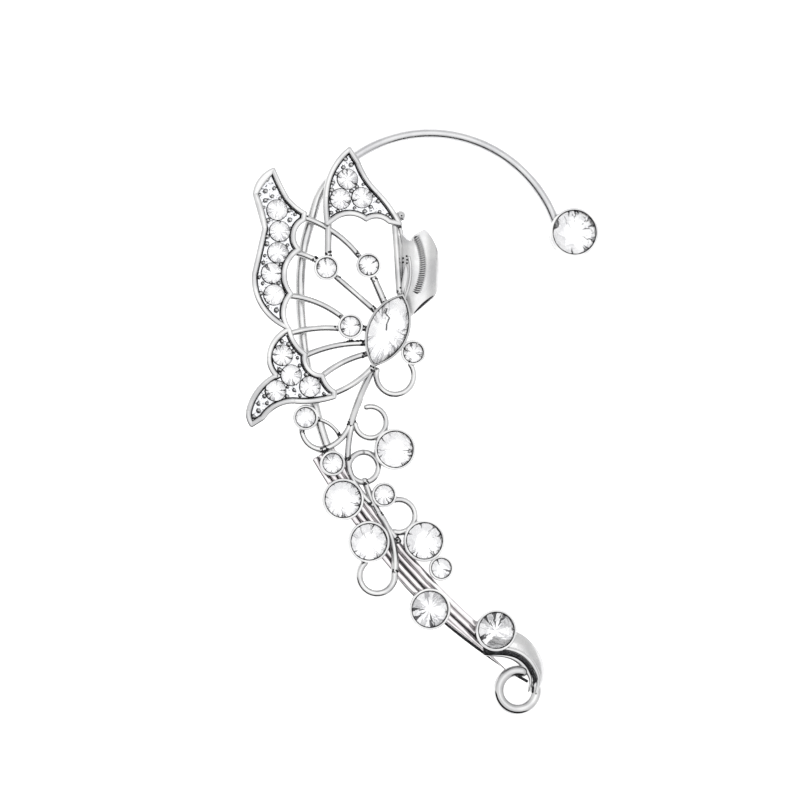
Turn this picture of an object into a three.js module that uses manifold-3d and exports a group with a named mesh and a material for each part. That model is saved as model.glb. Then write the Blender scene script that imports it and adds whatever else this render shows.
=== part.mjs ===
// Butterfly ear cuff: one cast and soldered metal frame with clear cut stones set in it.
// Millimetres, +Z up. The cuff lies on its back, its front up, the ear loop towards +X.
import * as THREE from 'three';
import { mergeVertices } from 'three/addons/utils/BufferGeometryUtils.js';
import Module from 'manifold-3d';

const wasm = await Module();
wasm.setup();

// Reach of each part of the cuff
const WING_REACH = 27; // body centre to the near wing's tip
const SPRAY_REACH = 54; // body centre to the far side of the end curl
const HOOK_RADIUS = 18.2; // ear loop, at the middle of its wire
const BODY_RISE = 3; // underside of the body above the surface that the cuff lies on

// Wires, as diameters
const HOOK_WIRE = 1.3;
const RIB_WIRE = 0.8;
const STEM_WIRE = 1.05;
const BAR_WIRE = 0.95;
const EDGE_WIRE = 0.85;
const FINE_WIRE = 0.6;
const RIM_WIRE = 0.66;
const VINE_WIRE = 0.8;
const ROD_WIRE = 0.92;
const CURL_WIRE = 1.4;

// Wing trays
const TRAY_THICKNESS = 1.25;
const TRAY_FLOOR = 0.3; // metal left under a stone

// Stones
const PAVE_STONE = 2.75;
const SMALL_STONE = 2.6;
const LARGE_STONE = 4.8;
const HOOK_STONE = 5.9;
const MARQUISE_LENGTH = 9.8;
const MARQUISE_WIDTH = 5;
const STONE_SIDES = 12;
const STONE_CLEARANCE = 0.12; // round each stone in its setting
const STONE_GAP = 0.16; // between neighbouring stones of one tray
const SETTING_WALL = 0.28;
const SETTING_FLOOR = 0.35;
const SETTING_LIP = 0.16; // setting above the stone's girdle

// Ear clip
const CLIP_BAND = 0.6; // thickness of the bent band
const CLIP_HALF_WIDTH = 2.9; // half the clip's bend, along X
const ROPE_SINK = 0.05; // of the rope's middle into the band

const BALL = 1.45;

// Heights of the spray above the surface
const SPRAY_BASE = 0.6; // underside of its settings
const SPRAY_WIRE_LEVEL = 1.15; // middle of its wires

// Cut of a round stone, as shares of its diameter
const CUT = { table: 0.56, crown: 0.15, girdle: 0.04, pavilion: 0.3 };

const DEG = Math.PI / 180;
const ROUND_SIDES = 6;
const TURN_PER_STEP = 26 * DEG; // of an arc
const ABOVE_ALL = 20; // height of the tool that cuts a setting open at its top

// An outline's rows are corners as shares of a reach. The stretch to the next corner is an arc
// whose bulge is the tangent of a quarter of its turn, positive where it lies right of travel.
const FORE_WING = [
  { x: -0.58, y: 0.805, bulge: 0.03 },
  { x: -0.515, y: 0.66, bulge: 0.1 },
  { x: -0.43, y: 0.585, bulge: 0 },
  { x: -0.435, y: 0.55, bulge: 0.5 },
  { x: -0.46, y: 0.4, bulge: 0.45 },
  { x: -0.5, y: 0.18, bulge: 0.33 },
  { x: -0.515, y: 0.01, bulge: -0.33 },
  { x: -0.683, y: 0.275, bulge: 0 },
  { x: -0.63, y: 0.505, bulge: 0 },
  { x: -0.675, y: 0.68, bulge: -0.27 },
];
const FAR_WING = [
  { x: -0.2, y: 0.915, bulge: 0 },
  { x: -0.155, y: 0.84, bulge: 0.12 },
  { x: -0.065, y: 0.695, bulge: -0.08 },
  { x: 0.045, y: 0.535, bulge: 0 },
  { x: -0.01, y: 0.545, bulge: 0.37 },
  { x: -0.125, y: 0.555, bulge: 0.36 },
  { x: -0.285, y: 0.555, bulge: 0 },
  { x: -0.32, y: 0.53, bulge: -0.05 },
  { x: -0.325, y: 0.665, bulge: -0.22 },
];
const HIND_WING = [
  { x: -0.51, y: 0.005, bulge: 0.2 },
  { x: -0.43, y: -0.12, bulge: 0.5 },
  { x: -0.345, y: -0.225, bulge: 0.2 },
  { x: -0.285, y: -0.305, bulge: 0 },
  { x: -0.285, y: -0.33, bulge: -0.1 },
  { x: -0.485, y: -0.353, bulge: 0.26 },
  { x: -0.635, y: -0.435, bulge: 0 },
  { x: -0.69, y: -0.47, bulge: -0.2 },
  { x: -0.708, y: -0.4, bulge: -0.23 },
  { x: -0.575, y: -0.225, bulge: -0.2 },
  { x: -0.61, y: -0.14, bulge: -0.31 },
];

// A tray's first stone has a place, and each further one lies beside an earlier one, at a heading
const WINGS = [
  {
    name: 'forewing', outline: FORE_WING, x: -0.565, y: 0.6,
    beside: [{ stone: 0, heading: -84 }, { stone: 1, heading: -95 }, { stone: 2, heading: -107 },
      { stone: 3, heading: -84 }],
  },
  {
    name: 'farwing', outline: FAR_WING, x: -0.213, y: 0.76,
    beside: [{ stone: 0, heading: -110 }, { stone: 1, heading: 4 }],
  },
  {
    name: 'hindwing', outline: HIND_WING, x: -0.542, y: -0.125,
    beside: [{ stone: 0, heading: -66 }, { stone: 1, heading: -135 }, { stone: 1, heading: -31 }],
  },
];

// Wing ribs, as shares of the wing's reach
const RIBS = [
  { part: 'near wing edge', x0: -0.435, y0: 0.566, x1: -0.14, y1: 0.345, bulge: -0.17, wire: RIB_WIRE },
  { part: 'near rib', x0: -0.48, y0: 0.39, x1: -0.325, y1: 0.32, bulge: -0.1, wire: RIB_WIRE },
  { part: 'near rib to body', x0: -0.333, y0: 0.318, x1: -0.038, y1: 0.062, bulge: 0, wire: RIB_WIRE },
  { part: 'middle rib', x0: -0.515, y0: 0.172, x1: -0.205, y1: 0.03, bulge: -0.18, wire: RIB_WIRE },
  { part: 'middle rib to body', x0: -0.2, y0: 0.02, x1: -0.06, y1: 0.005, bulge: 0, wire: RIB_WIRE },
  { part: 'upper stem', x0: -0.115, y0: 0.325, x1: -0.01, y1: 0.08, bulge: 0, wire: STEM_WIRE },
  { part: 'far wing left edge', x0: -0.31, y0: 0.56, x1: -0.315, y1: 0.325, bulge: 0, wire: BAR_WIRE },
  { part: 'far wing inner edge', x0: 0.02, y0: 0.57, x1: 0.045, y1: 0.1, bulge: 0, wire: EDGE_WIRE },
  { part: 'clip inner strip', x0: 0.045, y0: 0.54, x1: 0.065, y1: 0.12, bulge: -0.09, wire: FINE_WIRE },
  { part: 'hind rib 1', x0: -0.52, y0: -0.021, x1: -0.2, y1: 0.001, bulge: -0.13, wire: RIB_WIRE },
  { part: 'hind rib 2', x0: -0.435, y0: -0.13, x1: -0.06, y1: -0.068, bulge: -0.15, wire: RIB_WIRE },
  { part: 'hind rib 3', x0: -0.355, y0: -0.236, x1: -0.05, y1: -0.105, bulge: -0.17, wire: RIB_WIRE },
  { part: 'hind wing edge', x0: -0.31, y0: -0.32, x1: -0.06, y1: -0.14, bulge: 0.16, wire: RIB_WIRE },
];
const RIB_STONES = [
  { x: -0.325, y: 0.31 },
  { x: -0.115, y: 0.325 },
  { x: -0.208, y: 0.02 },
];

const MARQUISE = { x: -0.025, y: 0, heading: 67.4 };
const HEAD = { x: 0.107, y: -0.107 };
const HEAD_CURL = { x: 0.02, y: -0.22, radius: 0.094, from: 40, to: -195 };
const BALL_STUB = { x0: 0.03, y0: 0.565, x1: 0.053, y1: 0.58 };

// Ear clip seen from the front, as shares of the wing's reach, and its bend seen from its end
const CLIP_OUTLINE = [
  { x: 0.02, y: 0.53, bulge: 0 },
  { x: 0.11, y: 0.475, bulge: 0 },
  { x: 0.165, y: 0.51, bulge: -0.36 },
  { x: 0.215, y: 0.17, bulge: 0 },
  { x: 0.11, y: 0.08, bulge: 0 },
  { x: 0.02, y: 0.14, bulge: 0 },
];
const CLIP_BEND = { from: 150, to: -150 };
const CLIP_ROPE = { x0: 0.122, y0: 0.469, x1: 0.122, y1: 0.191, bulge: -0.24 };

// Wires of the spray, as shares of its reach. rise0 is the share of the body's rise at the start,
// where it isn't 0.
const VINES = [
  { part: 'main stem', x0: -0.02, y0: -0.05, x1: -0.095, y1: -0.23, bulge: 0.07, rise0: 1, wire: STEM_WIRE },
  { part: 'left bow', x0: -0.095, y0: -0.225, x1: -0.163, y1: -0.293, bulge: -0.25, wire: VINE_WIRE },
  { part: 'bow end', x0: -0.16, y0: -0.293, x1: -0.213, y1: -0.22, bulge: -0.6, wire: VINE_WIRE },
  { part: 'bow tie', x0: -0.19, y0: -0.217, x1: -0.122, y1: -0.262, bulge: -0.3, wire: FINE_WIRE },
  { part: 'bow root', x0: -0.163, y0: -0.293, x1: -0.142, y1: -0.328, bulge: 0, wire: VINE_WIRE },
  { part: 'vine upper', x0: -0.09, y0: -0.22, x1: -0.103, y1: -0.32, bulge: 0.05, wire: VINE_WIRE },
  { part: 'vine lower', x0: -0.103, y0: -0.31, x1: -0.04, y1: -0.43, bulge: 0.22, wire: VINE_WIRE },
  { part: 'heart left', x0: -0.06, y0: -0.37, x1: 0.025, y1: -0.52, bulge: 0.1, wire: EDGE_WIRE },
  { part: 'curl root', x0: -0.025, y0: -0.45, x1: 0.02, y1: -0.572, bulge: -0.12, wire: BAR_WIRE },
];
const SPRAY_CURLS = [
  { part: 'upper curl', x: -0.045, y: -0.225, radius: 0.039, from: 106, to: -173, wire: VINE_WIRE },
  { part: 'round loop, right', x: -0.0625, y: -0.337, radius: 0.037, from: 95, to: -95, wire: VINE_WIRE },
  { part: 'round loop, left', x: -0.0625, y: -0.337, radius: 0.037, from: 85, to: 275, wire: VINE_WIRE },
  { part: 'heart right', x: 0.026, y: -0.458, radius: 0.041, from: 110, to: -75, wire: EDGE_WIRE },
  { part: 'lower curl', x: -0.029, y: -0.607, radius: 0.044, from: 40, to: -226, wire: BAR_WIRE },
];
const SPRAY_STONES = [
  { x: -0.21, y: -0.215, size: SMALL_STONE },
  { x: -0.142, y: -0.328, size: SMALL_STONE },
  { x: -0.118, y: -0.418, size: LARGE_STONE },
  { x: 0.0125, y: -0.293, size: LARGE_STONE },
  { x: -0.0125, y: -0.406, size: SMALL_STONE },
];
// The further stones sit along the rods, to a side of them: at 1 their setting just meets the rods
const ROD_STONES = [
  { along: 0.371, side: 0.4, size: LARGE_STONE },
  { along: 0.507, side: -0.886, size: LARGE_STONE },
  { along: 0.637, side: -0.97, size: SMALL_STONE },
  { along: 0.716, side: 0.367, size: LARGE_STONE },
  { along: 0.964, side: -0.505, size: LARGE_STONE },
];
const RODS = { x0: -0.1625, y0: -0.305, x1: 0.258, y1: -0.79, bulge: 0.0875, count: 4 };
const ROD_PITCH = 0.95; // as a share of a rod's diameter

// End curl, as shares of the spray's reach
const CURL_BAND = [
  { x: 0.27, y: -0.79, bulge: -0.2 },
  { x: 0.3125, y: -0.745, bulge: -0.39 },
  { x: 0.395, y: -0.865, bulge: -0.1 },
  { x: 0.386, y: -0.9, bulge: 0 },
  { x: 0.362, y: -0.9, bulge: 0.42 },
  { x: 0.295, y: -0.812, bulge: 0 },
  { x: 0.245, y: -0.805, bulge: 0 },
];
const CURL_RING = { x: 0.3275, y: -0.8925, radius: 0.048, from: 15, to: -285 };
const CURL_RIBBON = [
  { x0: 0.245, y0: -0.785, x1: 0.3125, y1: -0.81, bulge: 0.2 },
  { x0: 0.3125, y0: -0.81, x1: 0.385, y1: -0.895, bulge: -0.28 },
];
const CURL_DEPTH = 1.5; // of the broad band

// Ear hook. Below its round part the wire bows out behind the wings, down to the rods.
const HOOK_CENTRE = { x: 0.335, y: 0.4925 }; // from the body, as shares of the hook's radius
const HOOK_ROUND = { from: 19, to: 148, steps: 14 };
const HOOK_NECK = [
  { along: 0.085, out: 0.066 },
  { along: 0.2, out: 0.14 },
  { along: 0.33, out: 0.178 },
  { along: 0.52, out: 0.178 },
  { along: 0.67, out: 0.15 },
  { along: 0.84, out: 0.088 },
];
const HOOK_SHIFT = { x: 0.026, y: -0.03 }; // foot of the wire from the rods' start

const METAL = new THREE.MeshStandardMaterial({ color: 0xd7d8dc, metalness: 1, roughness: 0.2 });
const GLASS = new THREE.MeshStandardMaterial({ color: 0xf2f5f8, metalness: 0.1, roughness: 0.05 });
METAL.flatShading = true;
GLASS.flatShading = true;

// Dome of the wings: highest at the body, down to the surface at the wings' reach
function lift(x, y) {
  return BODY_RISE * Math.max(0, 1 - (x * x + y * y) / (WING_REACH * WING_REACH));
}

// A closed geometry as a solid that can be joined and cut
function solidOf(geometry) {
  const bare = geometry.clone();
  bare.deleteAttribute('normal');
  bare.deleteAttribute('uv');
  const merged = mergeVertices(bare, 1e-4);
  const corners = merged.index.array;
  const kept = [];
  for (let i = 0; i < corners.length; i += 3) {
    const [a, b, c] = [corners[i], corners[i + 1], corners[i + 2]];
    if (a !== b && b !== c && c !== a) {
      kept.push(a, b, c);
    }
  }
  const vertProperties = new Float32Array(merged.attributes.position.array);
  const mesh = new wasm.Mesh({ numProp: 3, vertProperties, triVerts: new Uint32Array(kept) });
  return new wasm.Manifold(mesh);
}

function geometryOf(solid) {
  const { vertProperties, triVerts } = solid.getMesh();
  const geometry = new THREE.BufferGeometry();
  geometry.setAttribute('position', new THREE.BufferAttribute(new Float32Array(vertProperties), 3));
  geometry.setIndex(new THREE.BufferAttribute(new Uint32Array(triVerts), 1));
  geometry.computeVertexNormals();
  return geometry;
}

// The place at a share along an arc between two places, moved to the right of travel by an offset
function placeOnArc(x0, y0, x1, y1, bulge, along, offset = 0) {
  const start = new THREE.Vector2(x0, y0);
  const chord = new THREE.Vector2(x1, y1).sub(start);
  const right = new THREE.Vector2(chord.y, -chord.x).normalize();
  if (bulge === 0) {
    return start.addScaledVector(chord, along).addScaledVector(right, offset);
  }
  const turn = 4 * Math.atan(bulge);
  const radius = chord.length() / 2 / Math.sin(turn / 2);
  const middle = start.clone().addScaledVector(chord, 0.5);
  const centre = middle.addScaledVector(right, -radius * Math.cos(turn / 2));
  const spoke = start.clone().sub(centre).rotateAround(new THREE.Vector2(), turn * along);
  return centre.addScaledVector(spoke, 1 + offset / radius);
}

function arcPoints(x0, y0, x1, y1, bulge, offset = 0) {
  const turn = 4 * Math.atan(Math.abs(bulge));
  const steps = bulge === 0 ? 1 : Math.max(2, Math.ceil(turn / TURN_PER_STEP));
  return Array.from(
    { length: steps + 1 },
    (_, i) => placeOnArc(x0, y0, x1, y1, bulge, i / steps, offset),
  );
}

// Points of an arc about a centre, between two angles in degrees
function ringPoints(x, y, radius, from, to) {
  const steps = Math.ceil((Math.abs(to - from) * DEG) / TURN_PER_STEP);
  return Array.from({ length: steps + 1 }, (_, i) => {
    const angle = (from + ((to - from) * i) / steps) * DEG;
    return new THREE.Vector2(x + radius * Math.cos(angle), y + radius * Math.sin(angle));
  });
}

// A round wire of the given diameter through points, at the height that level gives for each
function wireThrough(points, level, diameter, sides = ROUND_SIDES) {
  const steps = points.length - 1;
  const places = points.map(
    (point, i) => new THREE.Vector3(point.x, point.y, level(point, i / steps)),
  );
  const path = places.length > 2
    ? new THREE.CatmullRomCurve3(places, false, 'centripetal')
    : new THREE.LineCurve3(places[0], places[1]);
  const section = new THREE.Shape(polygon(diameter / 2, sides));
  const sweep = { steps, bevelEnabled: false, extrudePath: path };
  return solidOf(new THREE.ExtrudeGeometry(section, sweep));
}

function polygon(radius, sides) {
  return Array.from({ length: sides }, (_, i) => {
    const angle = ((i + 0.5) * 2 * Math.PI) / sides;
    return new THREE.Vector2(radius * Math.cos(angle), radius * Math.sin(angle));
  });
}

function outlinePoints(rows, reach) {
  return rows.flatMap((row, i) => {
    const next = rows[(i + 1) % rows.length];
    const [x0, y0, x1, y1] = [row.x, row.y, next.x, next.y].map((share) => share * reach);
    return arcPoints(x0, y0, x1, y1, row.bulge).slice(0, -1);
  });
}

// A plate of the given outline between two heights, each raised by a dome where one is given
function plate(points, bottom, top, dome = () => 0) {
  const upright = { depth: top - bottom, bevelEnabled: false };
  const geometry = new THREE.ExtrudeGeometry(new THREE.Shape(points), upright);
  const places = geometry.attributes.position;
  for (let i = 0; i < places.count; i += 1) {
    places.setZ(i, places.getZ(i) + bottom + dome(places.getX(i), places.getY(i)));
  }
  return solidOf(geometry);
}

function cylinder(x, y, radius, bottom, top) {
  const round = new THREE.CylinderGeometry(radius, radius, top - bottom, STONE_SIDES);
  round.rotateX(Math.PI / 2);
  round.translate(x, y, (top + bottom) / 2);
  return solidOf(round);
}

const cuff = new THREE.Group();
const metal = []; // solids to be joined
const pockets = []; // solids to be cut away for the stones

function addPiece(name, solid, material) {
  const mesh = new THREE.Mesh(geometryOf(solid), material);
  mesh.name = name;
  cuff.add(mesh);
}

// A round stone with a table, a crown and a pavilion, its girdle at the given height
function roundStone(x, y, girdle, size) {
  const radius = size / 2;
  const profile = [
    new THREE.Vector2(0, -CUT.pavilion * size),
    new THREE.Vector2(radius, 0),
    new THREE.Vector2(radius, CUT.girdle * size),
    new THREE.Vector2(radius * CUT.table, (CUT.girdle + CUT.crown) * size),
    new THREE.Vector2(0, (CUT.girdle + CUT.crown) * size),
  ];
  const stone = new THREE.LatheGeometry(profile, STONE_SIDES);
  stone.rotateX(Math.PI / 2);
  stone.translate(x, y, girdle);
  return solidOf(stone);
}

// Sets a round stone: its pocket, its own setting unless a tray holds it, and the stone
function setRoundStone(name, x, y, base, size, { floor = SETTING_FLOOR, wall = SETTING_WALL } = {}) {
  const seat = base + floor;
  const girdle = seat + STONE_CLEARANCE + CUT.pavilion * size;
  const pocket = size / 2 + STONE_CLEARANCE;
  if (wall > 0) {
    metal.push(cylinder(x, y, pocket + wall, base, girdle + CUT.girdle * size + SETTING_LIP));
  }
  pockets.push(cylinder(x, y, pocket, seat, seat + ABOVE_ALL));
  addPiece(name, roundStone(x, y, girdle, size), GLASS);
}

// A wing's tray with its polished rim and its row of stones
function buildWing(wing) {
  const outline = outlinePoints(wing.outline, WING_REACH);
  metal.push(plate(outline, 0, TRAY_THICKNESS, lift));
  const rimLevel = (point) => lift(point.x, point.y) + TRAY_THICKNESS;
  wing.outline.forEach((row, i) => {
    const next = wing.outline[(i + 1) % wing.outline.length];
    const [x0, y0, x1, y1] = [row.x, row.y, next.x, next.y].map((share) => share * WING_REACH);
    metal.push(wireThrough(arcPoints(x0, y0, x1, y1, row.bulge), rimLevel, RIM_WIRE));
  });
  const places = [new THREE.Vector2(wing.x * WING_REACH, wing.y * WING_REACH)];
  for (const { stone, heading } of wing.beside) {
    const step = new THREE.Vector2(PAVE_STONE + STONE_GAP, 0);
    step.rotateAround(new THREE.Vector2(), heading * DEG);
    places.push(places[stone].clone().add(step));
  }
  places.forEach((place, i) => {
    const base = lift(place.x, place.y);
    const name = `stone_${wing.name}_${i + 1}`;
    setRoundStone(name, place.x, place.y, base, PAVE_STONE, { floor: TRAY_FLOOR });
  });
}

function buildRibs() {
  const ribLevel = (point) => lift(point.x, point.y) + TRAY_THICKNESS / 2;
  for (const rib of RIBS) {
    const [x0, y0, x1, y1] = [rib.x0, rib.y0, rib.x1, rib.y1].map((share) => share * WING_REACH);
    metal.push(wireThrough(arcPoints(x0, y0, x1, y1, rib.bulge), ribLevel, rib.wire));
  }
  RIB_STONES.forEach((row, i) => {
    const [x, y] = [row.x * WING_REACH, row.y * WING_REACH];
    setRoundStone(`stone_rib_${i + 1}`, x, y, lift(x, y), SMALL_STONE);
  });
}

// A pointed oval of two arcs, grown by a margin all round
function marquiseOutline(margin) {
  const half = MARQUISE_LENGTH / 2 + margin;
  const bulge = (MARQUISE_WIDTH / 2 + margin) / half;
  const sides = [
    ...arcPoints(-half, 0, half, 0, bulge).slice(0, -1),
    ...arcPoints(half, 0, -half, 0, bulge).slice(0, -1),
  ];
  const centre = new THREE.Vector2();
  const place = new THREE.Vector2(MARQUISE.x * WING_REACH, MARQUISE.y * WING_REACH);
  return sides.map((point) => point.rotateAround(centre, MARQUISE.heading * DEG).add(place));
}

function buildBody() {
  const seat = BODY_RISE + SETTING_FLOOR;
  const depth = CUT.pavilion * MARQUISE_WIDTH;
  const crown = CUT.crown * MARQUISE_WIDTH;
  const girdle = CUT.girdle * MARQUISE_WIDTH;
  const slope = (MARQUISE_WIDTH * (1 - CUT.table)) / 2;
  const girdleLevel = seat + STONE_CLEARANCE + depth;
  const cup = marquiseOutline(STONE_CLEARANCE + SETTING_WALL);
  metal.push(plate(cup, BODY_RISE, girdleLevel + girdle + SETTING_LIP));
  pockets.push(plate(marquiseOutline(STONE_CLEARANCE), seat, seat + ABOVE_ALL));
  const inner = new THREE.Shape(marquiseOutline(-slope));
  const bevel = { bevelEnabled: true, bevelSegments: 1, bevelSize: slope };
  const upper = new THREE.ExtrudeGeometry(inner, { ...bevel, depth: girdle, bevelThickness: crown });
  upper.translate(0, 0, girdleLevel);
  const lower = new THREE.ExtrudeGeometry(inner, { ...bevel, depth: girdle, bevelThickness: depth });
  lower.translate(0, 0, girdleLevel);
  const belt = plate(marquiseOutline(0), 0, girdleLevel + girdle);
  const top = plate(marquiseOutline(0), girdleLevel, girdleLevel + ABOVE_ALL);
  const stone = solidOf(upper).intersect(top).add(solidOf(lower).intersect(belt));
  addPiece('stone_body_marquise', stone, GLASS);

  const [x, y] = [HEAD.x * WING_REACH, HEAD.y * WING_REACH];
  setRoundStone('stone_head', x, y, lift(x, y), SMALL_STONE);
  const curl = [HEAD_CURL.x, HEAD_CURL.y, HEAD_CURL.radius].map((share) => share * WING_REACH);
  const curlLevel = (point) => lift(point.x, point.y) + TRAY_THICKNESS / 2;
  metal.push(wireThrough(ringPoints(...curl, HEAD_CURL.from, HEAD_CURL.to), curlLevel, RIB_WIRE));
}

function buildBall() {
  const stub = [BALL_STUB.x0, BALL_STUB.y0, BALL_STUB.x1, BALL_STUB.y1];
  const [x0, y0, x1, y1] = stub.map((share) => share * WING_REACH);
  const level = (point) => lift(point.x, point.y) + TRAY_THICKNESS / 2;
  metal.push(wireThrough(arcPoints(x0, y0, x1, y1, 0), level, FINE_WIRE));
  const ball = new THREE.SphereGeometry(BALL / 2, 10, 6);
  ball.translate(x1, y1, level({ x: x1, y: y1 }));
  metal.push(solidOf(ball));
}

// The clip is a band bent to an open C about an axis along Y, its free end under the body
function buildClip() {
  const strip = RIBS.find((rib) => rib.part === 'clip inner strip');
  const stripX = strip.x1 * WING_REACH;
  const stripY = ((strip.y0 + strip.y1) / 2) * WING_REACH;
  const stripLevel = lift(stripX, stripY) + TRAY_THICKNESS / 2;
  const halfHeight = stripLevel / (1 + Math.sin(CLIP_BEND.from * DEG));
  const centreX = stripX - CLIP_HALF_WIDTH * Math.cos(CLIP_BEND.from * DEG) - CLIP_BAND / 2;
  const arc = (shrink, from, to) => ringPoints(0, 0, 1, from, to).map(
    (point) => new THREE.Vector2(
      centreX + point.x * (CLIP_HALF_WIDTH - shrink),
      -halfHeight - point.y * (halfHeight - shrink),
    ),
  );
  const section = [
    ...arc(0, CLIP_BEND.from, CLIP_BEND.to),
    ...arc(CLIP_BAND, CLIP_BEND.to, CLIP_BEND.from),
  ];
  const outline = outlinePoints(CLIP_OUTLINE, WING_REACH);
  const [low, high] = [Math.min(...outline.map((p) => p.y)), Math.max(...outline.map((p) => p.y))];
  const along = { depth: high - low, bevelEnabled: false };
  const band = new THREE.ExtrudeGeometry(new THREE.Shape(section), along);
  band.rotateX(-Math.PI / 2);
  band.translate(0, low, 0);
  const bent = solidOf(band);
  metal.push(bent.intersect(plate(outline, -1, ABOVE_ALL)));
  const top = (point) => {
    const across = Math.min(1, Math.abs(point.x - centreX) / CLIP_HALF_WIDTH);
    return halfHeight * (1 + Math.sqrt(1 - across * across));
  };
  const ends = [CLIP_ROPE.x0, CLIP_ROPE.y0, CLIP_ROPE.x1, CLIP_ROPE.y1];
  const [x0, y0, x1, y1] = ends.map((share) => share * WING_REACH);
  const rope = arcPoints(x0, y0, x1, y1, CLIP_ROPE.bulge);
  metal.push(wireThrough(rope, (point) => top(point) - ROPE_SINK, FINE_WIRE));
}

function buildSpray() {
  const rise = BODY_RISE - SPRAY_BASE;
  const vineLevel = ({ rise0 = 0 }) => (_, along) => SPRAY_WIRE_LEVEL + rise0 * (1 - along) * rise;
  for (const vine of VINES) {
    const [x0, y0, x1, y1] = [vine.x0, vine.y0, vine.x1, vine.y1].map((share) => share * SPRAY_REACH);
    metal.push(wireThrough(arcPoints(x0, y0, x1, y1, vine.bulge), vineLevel(vine), vine.wire));
  }
  for (const curl of SPRAY_CURLS) {
    const [x, y, radius] = [curl.x, curl.y, curl.radius].map((share) => share * SPRAY_REACH);
    const ring = ringPoints(x, y, radius, curl.from, curl.to);
    metal.push(wireThrough(ring, () => SPRAY_WIRE_LEVEL, curl.wire));
  }
  const [x0, y0, x1, y1] = [RODS.x0, RODS.y0, RODS.x1, RODS.y1].map((share) => share * SPRAY_REACH);
  const bundle = (((RODS.count - 1) * ROD_PITCH + 1) * ROD_WIRE) / 2;
  const places = [
    ...SPRAY_STONES.map((row) => ({ x: row.x * SPRAY_REACH, y: row.y * SPRAY_REACH, size: row.size })),
    ...ROD_STONES.map((row) => {
      const offset = row.side * (bundle + row.size / 2 + STONE_CLEARANCE + SETTING_WALL);
      const place = placeOnArc(x0, y0, x1, y1, RODS.bulge, row.along, offset);
      return { x: place.x, y: place.y, size: row.size };
    }),
  ];
  places.forEach(({ x, y, size }, i) => {
    setRoundStone(`stone_spray_${i + 1}`, x, y, SPRAY_BASE, size);
  });
}

function buildRods() {
  const [x0, y0, x1, y1] = [RODS.x0, RODS.y0, RODS.x1, RODS.y1].map((share) => share * SPRAY_REACH);
  for (let i = 0; i < RODS.count; i += 1) {
    const offset = (i - (RODS.count - 1) / 2) * ROD_PITCH * ROD_WIRE;
    const rod = arcPoints(x0, y0, x1, y1, RODS.bulge, offset);
    metal.push(wireThrough(rod, () => ROD_WIRE / 2, ROD_WIRE));
  }
}

function buildEndCurl() {
  metal.push(plate(outlinePoints(CURL_BAND, SPRAY_REACH), 0, CURL_DEPTH));
  const [x, y, radius] = [CURL_RING.x, CURL_RING.y, CURL_RING.radius].map((share) => share * SPRAY_REACH);
  const ring = ringPoints(x, y, radius, CURL_RING.from, CURL_RING.to);
  metal.push(wireThrough(ring, () => CURL_WIRE / 2, CURL_WIRE));
  for (const row of CURL_RIBBON) {
    const [x0, y0, x1, y1] = [row.x0, row.y0, row.x1, row.y1].map((share) => share * SPRAY_REACH);
    metal.push(wireThrough(arcPoints(x0, y0, x1, y1, row.bulge), () => CURL_DEPTH, VINE_WIRE));
  }
}

function buildHook() {
  const [x, y] = [HOOK_CENTRE.x * HOOK_RADIUS, HOOK_CENTRE.y * HOOK_RADIUS];
  const { from, to, steps } = HOOK_ROUND;
  const round = Array.from({ length: steps + 1 }, (_, i) => {
    const angle = (from + ((to - from) * i) / steps) * DEG;
    return new THREE.Vector2(x + HOOK_RADIUS * Math.cos(angle), y + HOOK_RADIUS * Math.sin(angle));
  });
  const top = round[steps];
  const foot = new THREE.Vector2(RODS.x0 + HOOK_SHIFT.x, RODS.y0 + HOOK_SHIFT.y);
  foot.multiplyScalar(SPRAY_REACH);
  const down = foot.clone().sub(top);
  const out = new THREE.Vector2(down.y, -down.x).normalize();
  const neck = HOOK_NECK.map((row) => top.clone().addScaledVector(down, row.along)
    .addScaledVector(out, row.out * HOOK_RADIUS));
  metal.push(wireThrough([...round, ...neck, foot], () => HOOK_WIRE / 2, HOOK_WIRE));

  const setting = HOOK_STONE / 2 + STONE_CLEARANCE + SETTING_WALL;
  const reach = HOOK_RADIUS + setting / 2;
  const away = (from * DEG) - (setting / 2) / reach;
  const [endX, endY] = [x + reach * Math.cos(away), y + reach * Math.sin(away)];
  setRoundStone('stone_hook_end', endX, endY, 0, HOOK_STONE);
}

WINGS.forEach(buildWing);
buildRibs();
buildBody();
buildBall();
buildClip();
buildSpray();
buildRods();
buildEndCurl();
buildHook();

const joined = metal.reduce((sum, solid) => sum.add(solid));
const frame = pockets.reduce((sum, solid) => sum.subtract(solid), joined);
addPiece('metal_frame', frame, METAL);

// The origin is under the middle of the whole cuff, on the surface that it lies on
const box = new THREE.Box3().setFromObject(cuff);
const middle = box.getCenter(new THREE.Vector3());
cuff.position.set(-middle.x, -middle.y, -box.min.z);

export default cuff;
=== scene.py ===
"""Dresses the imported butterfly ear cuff: plated wires, wing trays, settings and cut stones.

The cuff lies on its back on a pale floor, its front up and the ear hook towards +X. Sizes are in
millimetres from the middle of the body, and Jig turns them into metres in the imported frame.
"""
import logging
import math
import random
from collections.abc import Callable, Iterator, Sequence
from dataclasses import dataclass, field
from enum import Enum

import bmesh
import bpy
from mathutils import Matrix, Vector
from mathutils.geometry import delaunay_2d_cdt


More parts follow.
